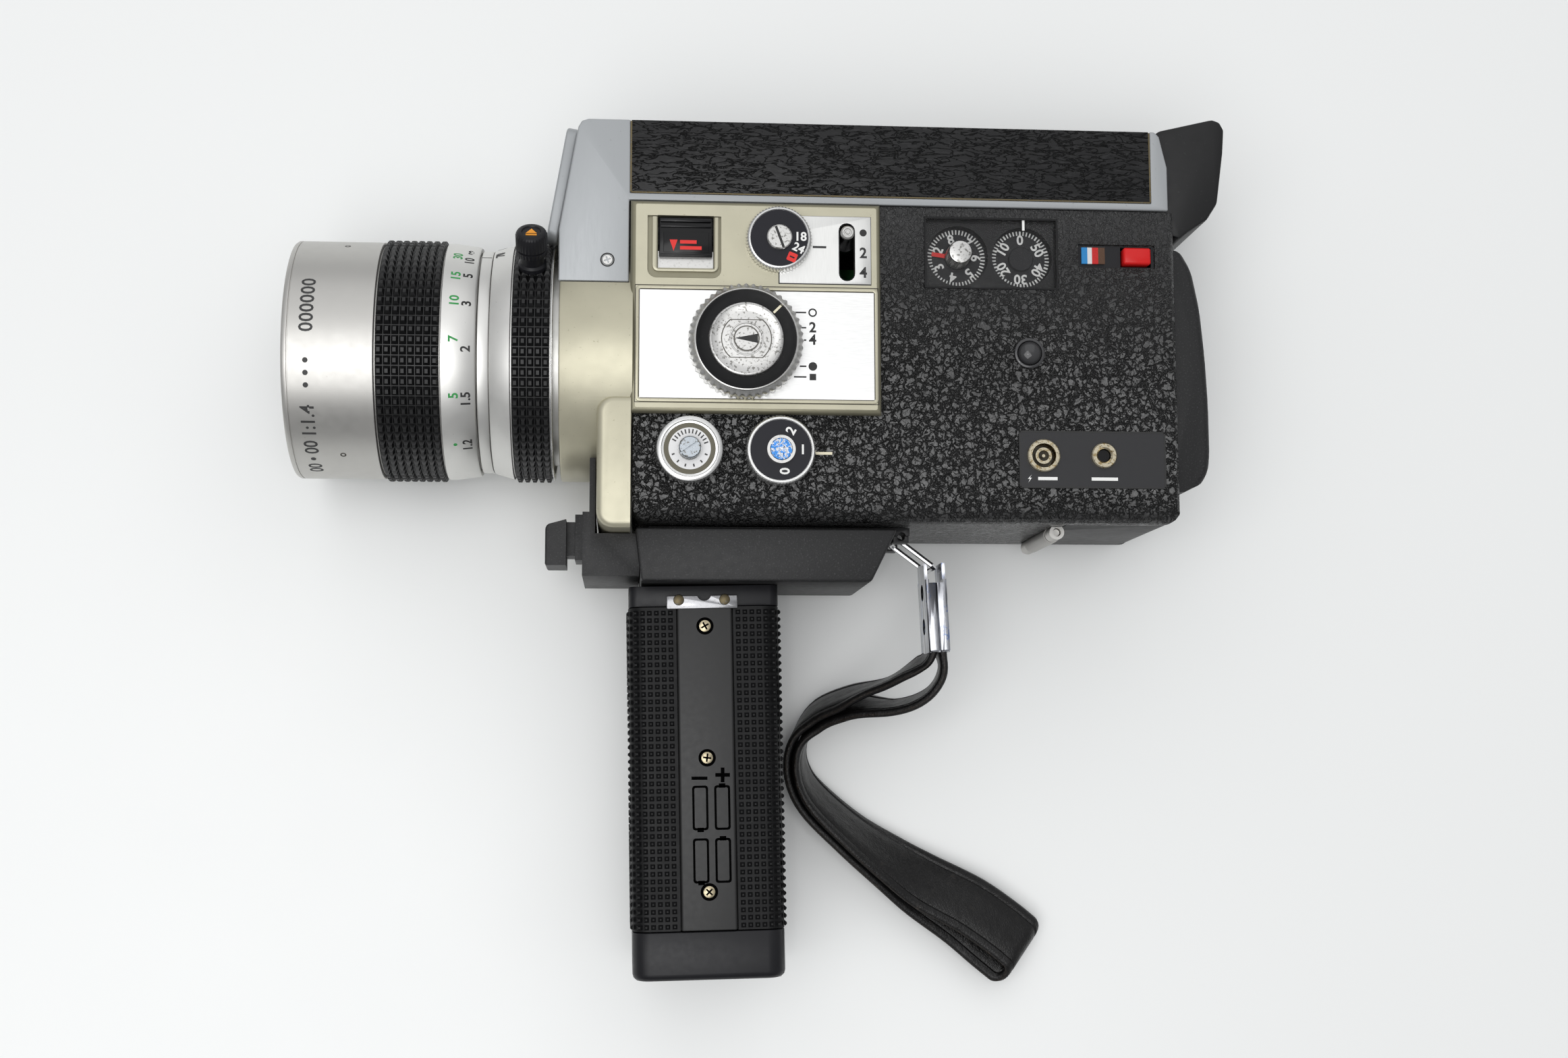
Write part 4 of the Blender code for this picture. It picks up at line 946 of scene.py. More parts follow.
def panel_rims():
    """Raised rims around the white plate and around the well of the slow-motion key."""
    key_low, key_high = KEY
    frame_outer = block(*grown(PLATE, 1.0), (PANEL_TOP - 0.5, PANEL_TOP + 0.45), 1.2, 3, "z")
    frame_inner = block(*grown(PLATE, 0.1), (PANEL_TOP - 2, PANEL_TOP + 2), 0.6, 3, "z")
    piece("plate_rim", carved(frame_outer, cut=[frame_inner]), "champagne", "control_panel", 0.2, 2)
    rim_outer = block((key_low.x - 1.9, key_high.x + 1.7), (12.1, 27.7), (PANEL_TOP - 1.6, PANEL_TOP + 0.1))
    bevel_edges(rim_outer, uprights_near(rim_outer, lambda c: c.y < 13), 1.6, 4)
    rim_inner = block((key_low.x - 0.6, key_high.x + 0.6), (12.9, 30.0), (PANEL_TOP - 5, PANEL_TOP + 2), 0.3,
                      2, "z")
    piece("key_rim", carved(rim_outer, cut=[rim_inner]), "champagne", "control_panel", 0.25, 2)
    sheet = block(*grown(PLATE), (PANEL_TOP - 0.4, PANEL_TOP))
    stand_in("white_panel", carved(sheet, cut=[hole(FADE, SHAFT_R)]), "plate", "white_plate")


def upper_plate():
    """The brushed plate beside the speed dial, with the lined slot of the shutter lever."""
    plate = block((-26.1, -0.5), (9.3, 28.5), (PANEL_TOP - 0.2, PANEL_TOP + 0.12))
    under = block((-26.4, -0.35), (9.0, 28.6), (PANEL_TOP - 0.2, PANEL_TOP + 0.04))
    for name, sheet, look, bevel in (("upper_edge", under, "ink", 0.0),
                                     ("upper_plate", plate, "upper", 0.08)):
        holes = [slide_slot(2.3, THROUGH, 2.25), hole(SPEED, SHAFT_R)]
        piece(name, carved(sheet, cut=holes), look, "control_panel", bevel, 1)
    sink = slide_slot(2.3, (PANEL_TOP - 0.9, PANEL_TOP + 0.1), 2.25)
    piece("slot_lining", carved(sink, cut=[slide_slot(2.05, THROUGH, 2.0)]), "black", "control_panel")


def slow_motion_key():
    """A stepped, ribbed top over a flat face."""
    key_low, key_high = KEY
    ridges = []
    for y, half, rise in ((key_high.y - 0.8, 0.5, 0.3), (key_high.y - 2.5, 0.35, 0.2),
                          (key_low.y + 0.55, 0.25, 0.15)):
        ridges.append(block((key_low.x + 0.3, key_high.x - 0.3), (y - half, y + half),
                            (key_high.z - 0.3, key_high.z + rise), 0.12, 2))
    ridges.append(block((key_low.x + 1.2, key_high.x - 1.0), (key_low.y + 1.2, key_high.y - 4.2),
                        (key_high.z - 0.5, key_high.z - 0.1), 0.15, 2))
    body = block(*grown(KEY), (key_low.z, key_high.z - 0.25), 0.35, 2)
    stand_in("key_cap", joined(body, *ridges), "black", "slow_motion_key")
    centre = ((key_low.x + key_high.x) / 2, key_low.y + 3.4)
    arrow = prism([(-1.1, 1.4), (1.1, 1.4), (0, -1.8)], (0, 0.06))
    marks = [on_face(arrow, (centre[0] - 3.4, centre[1]), key_high.z - 0.11)]
    for row, length in ((0.8, 4.6), (-0.9, 6.0)):
        marks.append(block((centre[0] - 1.6, centre[0] - 1.6 + length),
                           (centre[1] + row - 0.5, centre[1] + row + 0.5),
                           (key_high.z - 0.12, key_high.z - 0.04)))
    piece("key_mark", joined(*marks), "red_ink", "slow_motion_key")
    well = block((key_low.x - 0.3, key_high.x + 0.3), (13.5, key_low.y + 2), (FACE + 0.05, FACE + 0.5))
    piece("key_step", well, "dial", "control_panel")


def speed_dial():
    rim = PANEL_TOP + 0.3
    profile = [(58.0, 0), (58.0, 1.8), (rim, 1.8), (rim, 9.0, 1), (rim + 0.2, 9.2, 1), (69.3, 9.2, 1),
               (69.9, 8.8), (70.2, 8.4), (70.2, 8.15), (69.9, 8.05), (69.9, 0)]
    stand_in("speed_rim", dial(SPEED, profile, 240, 60, 0.35), "edge", "speed_dial")
    piece("speed_face", disc(SPEED, 69.8, 70.0, 8.0), "navy", "speed_dial")
    piece("speed_screw", screw_head(SPEED, 71.3, 3.5, False, 110.0, 0.9), "pitted", "speed_dial")
    # painted shade: a dark bar over the screw's slot where shade falls in it
    slot = on_face(block((-3.1, 3.1), (-0.35, 0.35), (0, 0.06)), (SPEED.x, SPEED.y), 71.3, math.radians(110))
    piece("speed_slot_shade", slot, "ink", "speed_dial")
    text("speed_numbers", [("18", 2.5, around(SPEED, 5.9, 3), 70.02, 0),
                           ("24", 2.4, around(SPEED, 6.1, -29), 70.02, -26)],
         "white", "speed_dial")
    x, y = around(SPEED, 6.5, -57)
    tile = on_face(block((-1.3, 1.3), (-1.25, 1.25), (0, 0.06), 0.3, 2, "z"), (x, y), 70.0, math.radians(-22))
    piece("speed_single", tile, "red_ink", "speed_dial")
    notch = on_face(block((-0.7, 0.7), (-0.2, 0.2), (0, 0.06)), (x, y), 70.05, math.radians(-22))
    piece("speed_notch", notch, "navy", "speed_dial")


def shutter_lever():
    """A knob with a cupped end on a foot that runs under its slot."""
    stem = [(58.6, 0), (58.6, 3.4), (60.6, 3.4), (60.6, 1.5), (67.2, 1.5), (67.2, 0)]
    stand_in("slide_stem", dial(SLIDE, stem, 48), "black", "shutter_lever")
    profile = [(67.2, 0), (67.2, 1.7), (67.5, 1.9), (68.6, 1.9), (69.1, 1.5), (69.1, 1.1), (68.8, 0.95),
               (68.8, 0.65), (69.2, 0.5), (69.2, 0)]
    piece("slide_knob", dial(SLIDE, profile, 48), "dial", "shutter_lever")


def fade_dial():
    """The serrated ring, its dark groove and the mode knob in the middle."""
    profile = [(58.0, 0), (58.0, 1.8), (66.95, 1.8), (66.95, 15.6, 1), (67.2, 15.9, 1), (71.2, 15.9, 1),
               (71.8, 15.2, 0.6), (72.2, 14.5), (72.9, 14.2), (73.0, 13.9), (72.4, 13.7), (71.0, 13.6),
               (70.6, 10.8), (70.6, 0)]
    stand_in("fade_ring", dial(FADE, profile, 384, 48, 0.6), "dial", "fade_dial")
    groove = [(70.5, 10.4), (70.5, 13.65), (72.3, 13.65), (72.1, 12.9), (71.9, 12.2), (71.9, 10.4)]
    piece("fade_groove", dial(FADE, groove), "rubber", "fade_dial")
    x, y = around(FADE, 12.2, 45)
    piece("fade_pointer", on_face(block((-1.55, 1.55), (-0.32, 0.32), (0, 0.1)), (x, y), 72.15,
                                  math.radians(45)),
          "cream", "fade_dial")
    top = span("fade_knob")[1].z
    profile = [(-2.3, 0), (-2.3, 10.3), (-1.0, 10.3), (-0.6, 10.15), (-0.42, 9.85), (-0.4, 9.7), (-0.55, 9.5),
               (-0.55, 7.3), (-0.5, 4.7), (-0.4, 4.6), (-0.4, 4.35), (-0.6, 4.2), (-0.6, 3.5), (-0.4, 3.35),
               (-0.1, 3.2), (-0.1, 0)]
    stand_in("fade_cap", dial(FADE, [(top + z, r) for z, r in profile]), "pitted", "fade_knob")
    flats = [around(FADE, 7.0, a) for a in [*range(-50, 51, 10), *range(130, 231, 10)]]
    outer = prism(flats, (top - 0.6, top - 0.46))
    inner = prism([(FADE.x + (px - FADE.x) * 0.96, FADE.y + (py - FADE.y) * 0.96) for px, py in flats],
                  THROUGH)
    piece("fade_flats", carved(outer, cut=[inner]), "dark_metal", "fade_knob")
    piece("fade_circle", washer(FADE, top - 0.15, top - 0.08, 3.3, 3.55), "dark_metal", "fade_knob")
    wedge = prism([(-3.3, 0), (3.1, 1.3), (3.1, -1.3)], (0, 0.06))
    piece("fade_wedge", on_face(wedge, (FADE.x, FADE.y), top - 0.1), "ink", "fade_knob")


def aperture_knob():
    profile = [(64.1, 2.1), (64.1, 9.2, 1), (64.4, 9.4, 1), (67.6, 9.4, 1), (68.3, 9.0), (68.6, 8.5),
               (68.6, 7.9), (68.2, 7.7), (68.0, 6.3), (68.0, 2.1)]
    stand_in("aperture_rim", dial(APERTURE, profile, 240, 60, 0.35), "edge", "aperture_knob")
    piece("aperture_face", washer(APERTURE, 67.9, 68.12, 3.3, 7.75), "olive", "aperture_knob")
    piece("aperture_band", washer(APERTURE, 68.0, 68.25, 3.25, 5.8), "white_plastic", "aperture_knob")
    ticks = []
    for a in range(20, 161, 12):
        ticks.append((around(APERTURE, 4.2, a), around(APERTURE, 5.4, a), 0.36, 68.3))
    for a in range(200, 341, 28):
        ticks.append((around(APERTURE, 4.4, a), around(APERTURE, 5.2, a), 0.4, 68.3))
    bars("aperture_marks", ticks, "grey_ink", "aperture_knob")
    stand_in("aperture_stud", screw_head(APERTURE, 71.0, 3.05, False, 215.0, 0.8), "tarnished",
          "aperture_spindle")


def power_dial():
    profile = [(58.0, 0), (58.0, 1.8), (64.1, 1.8), (64.1, 9.5, 1), (64.4, 9.75, 1), (67.5, 9.75, 1),
               (68.1, 9.4), (68.4, 9.1), (68.4, 8.6), (68.1, 8.5), (68.1, 0)]
    stand_in("power_rim", dial(POWER, profile, 240, 60, 0.35), "edge", "power_dial")
    piece("power_face", disc(POWER, 68.0, 68.2, 8.45), "navy", "power_dial")
    piece("power_collar", washer(POWER, 68.1, 69.6, 3.0, 3.9), "dial", "power_dial")
    piece("power_screw", screw_head(POWER, 69.8, 3.2, False, 150.0), "blue_steel", "power_dial")
    text("power_numbers", [("1", 2.7, around(POWER, 6.0, 0), 68.22, 0),
                           ("2", 2.7, around(POWER, 6.0, 62), 68.22, 60),
                           ("0", 2.7, around(POWER, 6.0, -82), 68.22, -90)], "white", "power_dial")


def panel_marks():
    top = PANEL_TOP + 0.02
    line = PANEL_TOP + 0.14
    entries = [((-16.8, 19.7), (-13.0, 19.7), 0.6, line)]
    bars("speed_index", entries, "ink", "control_panel")
    x = SLIDE.x + 4.6
    text("slide_numbers", [("2", 3.0, (x, SLIDE.y - 5.4), line, 0), ("4", 3.0, (x, SLIDE.y - 11.0), line, 0)],
         "ink", "control_panel")
    piece("slide_dot", rod(line - 0.05, line + 0.03, 1.0, Z, (x, SLIDE.y + 0.5, 0)), "ink", "control_panel")
    rows = ((1.0, "open"), (-3.3, "2"), (-6.8, "4"), (-14.2, "close"), (-17.2, "stop"))
    lines, words = [], []
    for y, word in rows:
        reach = math.sqrt(max(16.2 ** 2 - (y - FADE.y) ** 2, 0))
        lines.append(((FADE.x + reach + 0.2, y), (-18.7, y), 0.42, top))
        if word in "24":
            words.append((word, 2.9, (-16.9, y), top, 0))
    bars("fade_lines", lines, "ink", "white_plate")
    text("fade_numbers", words, "ink", "white_plate")
    ring = turned([(top, 0.8), (top, 1.2), (top + 0.05, 1.2), (top + 0.05, 0.8)], Z, (-16.9, 1.0, 0), 40)
    dot = rod(top, top + 0.05, 1.2, Z, (-16.9, -14.2, 0))
    square = block((-17.8, -16.0), (-18.1, -16.3), (top, top + 0.05))
    piece("fade_symbols", joined(ring, dot, square), "ink", "white_plate")
    bars("power_index", [((-16.4, -38.1), (-11.3, -38.1), 0.75, FACE + 0.05)], "cream", "left_casing", 0.12)


def tick_ring(name, place, inner, width, fifth_width, top, node):
    """Fifty ticks around a disc, every fifth of its own width."""
    marks = []
    for step in range(50):
        a = 90 + step * 7.2
        marks.append((around(place, inner, a), around(place, 8.3, a), width if step % 5 else fifth_width,
                      top))
    bars(name, marks, "white", node)


def counters():
    floor = 61.05
    plate = block(*grown(WINDOW, -0.1), (floor, floor + 0.12))
    piece("counter_mask", carved(plate, cut=[hole(MEMO, 8.7), hole(COUNTER, 8.7)]), "black", "left_casing")
    turned_disc = [(50.0, 0), (50.0, 1.5), (57.4, 1.5), (57.4, 8.4), (58.4, 8.4), (58.4, 3.6), (59.2, 3.5),
            (59.4, 3.3), (59.4, 0)]
    stand_in("counter_face", dial(COUNTER, turned_disc), "satin_black", "counter_disc")
    tick_ring("counter_ticks", COUNTER, 7.1, 0.36, 0.5, 58.44, "counter_disc")
    numbers = [(str(n * 10), 2.8, around(COUNTER, 5.6, 90 + n * 60), 58.44, n * 60) for n in range(6)]
    text("counter_numbers", numbers, "white", "counter_disc")
    index = ((COUNTER.x, COUNTER.y + 7.2), (COUNTER.x, COUNTER.y + 11.0), 0.7, WINDOW[1].z + 0.03)
    bars("counter_index", [index], "white", "counter_window")
    piece("memo_face", washer(MEMO, 57.6, 58.1, 1.9, 8.6), "satin_black", "left_casing")
    tick_ring("memo_ticks", MEMO, 7.0, 0.38, 0.38, 58.14, "left_casing")
    numbers = [(str(n), 2.8, around(MEMO, 5.5, n * 51.4 - 306), 58.14, n * 51.4 - 396) for n in range(2, 9)]
    text("memo_numbers", numbers, "white", "left_casing")
    pointer = on_face(block((-2.6, 2.0), (-0.6, 0.6), (0, 0.3)), around(MEMO, 5.2, 172), 58.6,
                      math.radians(172))
    piece("memo_pointer", pointer, "red_ink", "memo_knob")
    profile = [(56.6, 0), (56.6, 1.4), (59.0, 1.4), (59.0, 3.4, 1), (59.2, 3.5, 1), (65.3, 3.5, 1),
               (65.9, 3.1), (66.0, 2.8), (66.0, 0)]
    stand_in("memo_cap", dial(MEMO, profile, 160, 40, 0.25), "pitted", "memo_knob")
    stand_in("window_pane", copied("counter_window"), "clear", "counter_window", 0.2)
    trim = block(*grown(WINDOW, 0.25), (FACE - 1.2, FACE + 0.12), 0.3, 2, "z")
    opening = block(*grown(WINDOW, -0.25), THROUGH)
    piece("window_trim", carved(trim, cut=[opening]), "black", "left_casing")


def battery_check():
    """The red bar in its tray, and the flags under their clear window."""
    refined("battery_check_button", "red", 0.35, 3)
    tray = carved(block((59.5, 81.2), (16.3, 22.6), (62.75, 62.9)),
                  cut=[block(*grown(span("battery_check_button"), 0.5), THROUGH)])
    piece("button_tray", tray, "satin_black", "left_casing")
    strips = ((60.2, 61.9, "blue"), (61.9, 63.2, "white_plastic"), (63.2, 65.0, "red"), (65.0, 66.9, "amber"))
    for number, (start, end, look) in enumerate(strips):
        piece("battery_flag_%d" % (number + 1), block((start, end), (17.2, 21.9), (62.95, 63.6)), look,
              "left_casing")
    dome = block((60.0, 67.1), (16.8, 22.3), (63.0, 64.6), 0.7, 4)
    piece("battery_window", dome, "clear", "left_casing")


def dome_button():
    profile = [(59.0, 0), (59.0, 3.3), (64.0, 3.3)]
    for degrees in range(10, 90, 10):
        a = math.radians(degrees)
        profile.append((64.0 + 2.2 * math.sin(a), 3.3 * math.cos(a)))
    stand_in("dome_cap", dial(DOME, profile + [(66.2, 0)], 64), "dome", "dome_button")
    ring = [(FACE - 0.5, 3.45), (FACE - 0.5, 4.3), (FACE + 0.35, 4.3), (FACE + 0.5, 4.1), (FACE + 0.5, 3.6),
            (FACE + 0.35, 3.45)]
    piece("dome_ring", dial(DOME, ring), "dome", "left_casing")


def jacks():
    width, height = (41.6, 82.7), (-46.9, -31.4)
    plate = block(width, height, (FACE - 0.3, FACE + 0.18))
    piece("jack_plate", carved(plate, cut=[hole(FLASH, 4.4), hole(REMOTE, 3.4)]), "jack", "left_casing",
          0.12, 1)
    # painted shade: a near-black frame in the gap round the jack plate
    border = block((41.2, 83.1), (-47.3, -31.0), (FACE - 0.3, FACE + 0.08))
    piece("jack_gap_shade", carved(border, cut=[block(width, height, THROUGH)]), "shade_and_mark_black", "left_casing")
    rim = FACE + 0.2
    flash = [(56.0, 0), (56.0, 3.8), (rim, 3.8), (rim, 4.6), (rim + 0.9, 4.6), (rim + 1.15, 4.3),
             (rim + 1.15, 3.4), (rim + 0.8, 3.2), (61.5, 3.1), (61.5, 0)]
    stand_in("flash_shell", dial(FLASH, flash, 72), "nickel", "flash_socket")
    piece("flash_core", joined(washer(FLASH, 61.4, 64.4, 1.5, 2.3, 48), disc(FLASH, 61.4, 64.2, 0.45, 24)),
          "nickel", "flash_socket")
    # painted shade: a dark disc down in the socket's bore
    piece("flash_bore_shade", disc(FLASH, 61.55, 61.9, 3.05, 48), "groove", "flash_socket")
    remote = [(56.0, 0), (56.0, 2.7), (rim, 2.7), (rim, 3.6), (rim + 0.8, 3.6), (rim + 1.1, 3.3),
              (rim + 1.1, 2.3), (rim + 0.7, 1.9), (60.5, 1.7), (60.5, 0)]
    stand_in("remote_shell", dial(REMOTE, remote, 72), "nickel", "remote_socket")
    # painted shade: a black disc down in the socket's bore
    piece("remote_bore_shade", disc(REMOTE, 60.4, 63.6, 1.68, 32), "black", "remote_socket")
    # painted shade: dark lines along the groove that outlines the jack plate
    lines = [((41.4, y), (82.9, y), 0.5, FACE + 0.2) for y in (-47.0, -31.3)]
    lines += [((x, -47.0), (x, -31.3), 0.5, FACE + 0.2) for x in (41.5, 82.8)]
    bars("jack_outline_groove_shade", lines, "ink", "left_casing")
    marks = []
    for x, length in ((FLASH.x - 1.6, 5.5), (REMOTE.x - 3.6, 7.5)):
        marks.append(((x, -44.6), (x + length, -44.6), 0.9, FACE + 0.2))
    bars("jack_marks", marks, "white", "left_casing")
    bolt = prism([(0.6, 1.1), (-0.5, -0.1), (0.1, -0.1), (-0.4, -1.2), (0.6, 0.2), (0.0, 0.2)], (0, 0.06))
    piece("flash_bolt", on_face(bolt, (FLASH.x - 4.0, -44.6), FACE + 0.18), "white", "left_casing")


def rear():
    refined("eyecup", "eyecup", 0.6, 3)
    refined("diopter_ring", "plastic", 0.25)
    refined("film_door", "plastic", 0.5, 2)
    refined("door_latch", "plastic", 0.2)
    glass = turned([(82.5, 0), (82.5, 7.4), (83.6, 7.4), (84.4, 5.0), (84.8, 0)], X, (0, 45.0, AXIS_Z), 64)
    piece("eyepiece_glass", glass, "lens", "top_cover")


KNURL_PITCH = 1.2         # along the hinge


def hinge_tube():
    """The knurled tube under the body: two fixed ends and the door's sleeve between them."""
    low, high = span("door_hinge")
    ends = []
    for start, end in ((low.z, 18.6), (46.4, high.z)):
        profile = [(start, 1.2), (start, 2.0)]
        step = start
        while step + KNURL_PITCH < end:
            profile += [(step + 0.15, 2.1), (step + 0.85, 2.1), (step + 1.0, 1.85),
                        (step + KNURL_PITCH, 1.85)]
            step += KNURL_PITCH
        profile += [(end, 2.1), (end, 1.2)]
        ends.append(turned(profile, Z, (HINGE.x, HINGE.y, 0), 40))
    pin = turned([(low.z + 1.0, 0), (low.z + 1.0, 1.0), (high.z - 1.5, 1.0), (high.z - 1.5, 0)], Z,
                 (HINGE.x, HINGE.y, 0), 32)
    stand_in("hinge_ends", joined(*ends, pin), "ring", "door_hinge")
    start = 19.1
    profile = [(start, 1.9)]
    for k in range(22):
        z = start + KNURL_PITCH * k
        profile += [(z + 0.1, 2.3), (z + 0.8, 2.3), (z + 0.95, 2.15), (z + KNURL_PITCH, 2.15)]
    profile += [(45.9, 2.3), (45.9, 1.9)]
    piece("hinge_sleeve", turned(profile, Z, (HINGE.x, HINGE.y, 0), 40), "ring", "film_door")


# ---- Grip ------------------------------------------------------------------------------------

GRIP_LEAN = math.radians(1.1)
GRIP_AXIS_X, GRIP_TOP = -46.4, -80.0
STUD_HALF, STUD_HEIGHT = 0.7, 0.55      # of the pyramids on the grip


def leaned(shape):
    return rotated(shape, GRIP_LEAN, "Z", (GRIP_AXIS_X, GRIP_TOP, 0))


def lean_point(x, y):
    dx, dy = x - GRIP_AXIS_X, y - GRIP_TOP
    return (GRIP_AXIS_X + dx * math.cos(GRIP_LEAN) - dy * math.sin(GRIP_LEAN),
            GRIP_TOP + dx * math.sin(GRIP_LEAN) + dy * math.cos(GRIP_LEAN))


def grip():
    refined("grip_head", "plastic", 0.4, 2)
    pad = prism([(-91.0, -67.8), (-91.0, -57.0), (-90.2, -56.0), (-85.1, -54.7), (-85.1, -67.8)],
                (29.0, 45.0))
    bevel_edges(pad, edges_near(pad, lambda c: c.x < -85.5), 1.3, 5)
    stem = block((-86.0, -79.6), (-64.8, -55.2), (32.0, 42.0))
    rail = block((-80.5, -74.0), (-64.8, -60.7), (32.0, 42.0))
    stand_in("trigger_pad", carved(pad, add=[stem, rail]), "plastic", "trigger")
    # painted shade: the core under the grip head takes the darker satin black for the shade it stands in
    refined("grip_core", "satin_black", 0.4, 2)
    sleeve = leaned(block((-67.5, -25.3), (-168.9, GRIP_TOP), (17.0, 52.4), 5.0, 8, "y"))
    core = leaned(block((-62.7, -30.1), (-180, -70), (25.3, 44.3)))
    slot = leaned(block((-54.2, -38.3), (-180, -70), (50.4, 60)))
    stand_in("grip_sleeve", carved(sleeve, cut=[core, slot]), "rubber", "grip_cover")
    dimples = bmesh.new()
    for row in range(43):
        y = GRIP_TOP - 1.6 - row * 2.05
        for x in [-65.5 + 1.95 * k for k in range(6)] + [-36.9 + 1.95 * k for k in range(6)]:
            add_stud(dimples, (x, y, 52.35), (0, 0, 1))
        for z in [19.0 + 2.05 * k for k in range(16)]:
            add_stud(dimples, (-67.45, y, z), (-1, 0, 0))
            add_stud(dimples, (-25.35, y, z), (1, 0, 0))
        for x in [-65.5 + 1.95 * k for k in range(21)]:
            add_stud(dimples, (x, y, 17.05), (0, 0, -1))
    piece("grip_studs", leaned(dimples), "rubber", "grip_cover")


def grip_strip():
    """The strip with its three screws and the battery marks, and the foot cap."""
    refined("grip_strip", "strip", 0.3, 2)
    face = span("grip_strip")[1].z
    holes, heads, crosses = [], [], []
    for y in (-85.4, -121.9, -158.5):
        x, y = lean_point(-46.2, y)
        centre = Vector((x, y, 0))
        # painted shade: a dark ring in each screw's counterbore
        holes.append(washer(centre, face - 0.3, face + 0.06, 1.55, 2.4, 48))
        head = [(face - 0.3, 0), (face - 0.3, 1.6), (face + 0.1, 1.6), (face + 0.25, 1.2), (face + 0.3, 0)]
        heads.append(dial(centre, head, 48))
        # painted shade: dark crosses on the plain heads where the cross recesses hold shade
        for turn in (25.0, 115.0):
            crosses.append(on_face(block((-1.15, 1.15), (-0.24, 0.24), (0, 0.06)), (x, y), face + 0.29,
                                   math.radians(turn + y)))
    piece("strip_counterbore_shade", joined(*holes), "shade_and_mark_black", "grip_strip")
    piece("strip_screws", joined(*heads), "brass_screw", "grip_strip")
    piece("strip_cross_slot_shade", joined(*crosses), "shade_and_mark_black", "grip_strip")
    marks = [("–", 5.6, lean_point(-48.4, -127.1), face + 0.03, 0),
             ("+", 5.6, lean_point(-42.0, -127.1), face + 0.03, 0)]
    text("cell_signs", marks, "shade_and_mark_black", "grip_strip")
    cells = []
    for x in (-48.3, -42.2):
        for top_y in (-129.6, -144.0):
            outer = block((x - 2.2, x + 2.2), (top_y - 12.1, top_y + 0.1), (face - 0.1, face + 0.07), 0.7, 2,
                          "z")
            inner = block((x - 1.6, x + 1.6), (top_y - 11.5, top_y - 0.5), THROUGH, 0.4, 2, "z")
            cap_y = top_y if x > -45 else top_y - 12.0
            cap = block((x - 0.9, x + 0.9), (cap_y - 0.6, cap_y + 0.6), (face - 0.1, face + 0.07))
            cells.append(leaned(joined(carved(outer, cut=[inner]), cap)))
    piece("cell_marks", joined(*cells), "shade_and_mark_black", "grip_strip")
    refined("grip_cap", "satin_black", 0.3, 2)


def hinge_plate():
    """The bright plate at the head of the strip, with its two rivets."""
    plate = block((-56.8, -37.0), (-80.6, -76.8), (52.4, 53.4), 0.3, 2)
    notch = hole(Vector((-46.3, -76.4, 0)), 2.0)
    piece("hinge_plate", leaned(carved(plate, cut=[notch])), "mirror", "grip_core", 0.4, 3)
    head = [(53.2, 0), (53.2, 1.6), (53.7, 1.4), (54.0, 0.7), (54.0, 0)]
    rivets = [dial(Vector((x, -78.1, 0)), head, 32) for x in (-53.4, -40.6)]
    piece("plate_rivets", leaned(joined(*rivets)), "brass", "grip_core")


def add_stud(shape, place, out):
    """One low pyramid with its tip cut off, on a face that looks along out."""
    out, side = Vector(out), Vector(Y)
    across = out.cross(side)
    low, high = [[shape.verts.new(Vector(place) + out * rise + (side * a + across * b) * half)
                  for a, b in ((-1, -1), (1, -1), (1, 1), (-1, 1))]
                 for rise, half in ((0, STUD_HALF), (STUD_HEIGHT, STUD_HALF * 0.35))]
    faces = [shape.faces.new(low[::-1]), shape.faces.new(high)]
    for k in range(4):
        n = (k + 1) % 4
        faces.append(shape.faces.new((low[k], low[n], high[n], high[k])))
    bmesh.ops.recalc_face_normals(shape, faces=faces)


# ---- Strap -----------------------------------------------------------------------------------

STRAP_THICK = 2.2
HEM_SINK = 0.72           # thickness left at the pressed line
HEM = (0.87, 0.8, 0.73, 0.3, -0.3, -0.73, -0.8, -0.87)     # a pressed line follows each edge
# middle of the doubled strap x, y, z; how far its top edge leans in x and y; half the gap between the
# two lengths; how far they are slid past each other; width
STRAP_ROUTE = [
    (21.3, -84.5, 34.7, 0.00, 0.00, 1.2, 0.0, 13.4),
    (21.6, -91.5, 34.7, 0.00, 0.00, 1.4, 0.0, 13.6),
    (20.4, -96.5, 33.4, 0.02, -0.02, 3.5, 0.0, 14.0),
    (16.4, -100.7, 30.6, 0.04, -0.06, 4.5, 0.0, 14.6),
    (9.5, -103.8, 26.0, 0.06, -0.12, 3.7, 0.0, 15.4),
    (-1.5, -105.6, 19.0, 0.12, -0.26, 1.7, 0.0, 17.0),
    (-10.5, -109.4, 13.4, 0.14, -0.14, 1.5, 0.0, 17.8),
    (-16.2, -116.5, 10.6, -0.10, 0.02, 1.4, 0.0, 18.2),
    (-16.8, -125.2, 10.2, -0.28, -0.08, 1.4, 0.0, 18.4),
    (-12.2, -134.0, 10.2, -0.36, -0.30, 1.35, 0.0, 18.4),
    (-0.5, -144.8, 9.8, -0.40, -0.42, 1.35, 0.0, 18.4),
    (11.0, -153.2, 8.6, -0.48, -0.58, 1.5, 0.4, 18.4),
    (21.2, -160.1, 7.6, -0.53, -0.72, 1.8, 1.4, 18.4),
    (34.0, -167.8, 7.2, -0.51, -0.79, 2.4, 3.2, 18.4),
    (43.0, -174.6, 7.1, -0.50, -0.80, 2.6, 4.2, 18.4),
    (48.2, -178.8, 7.1, -0.50, -0.80, 2.6, 4.2, 18.4),
]


ROUTE_STEPS = 6           # between two stations


def smooth_route(stations):
    """Catmull-Rom through the stations."""
    result = []
    count = len(stations)
    for i in range(count - 1):
        p = [stations[max(0, min(count - 1, i + k))] for k in (-1, 0, 1, 2)]
        for step in range(ROUTE_STEPS):
            t = step / ROUTE_STEPS
            result.append(tuple(0.5 * (2 * b + (c - a) * t + (2 * a - 5 * b + 4 * c - d) * t ** 2
                                       + (3 * b - a - 3 * c + d) * t ** 3)
                                for a, b, c, d in zip(*p)))
    result.append(stations[-1])
    return result


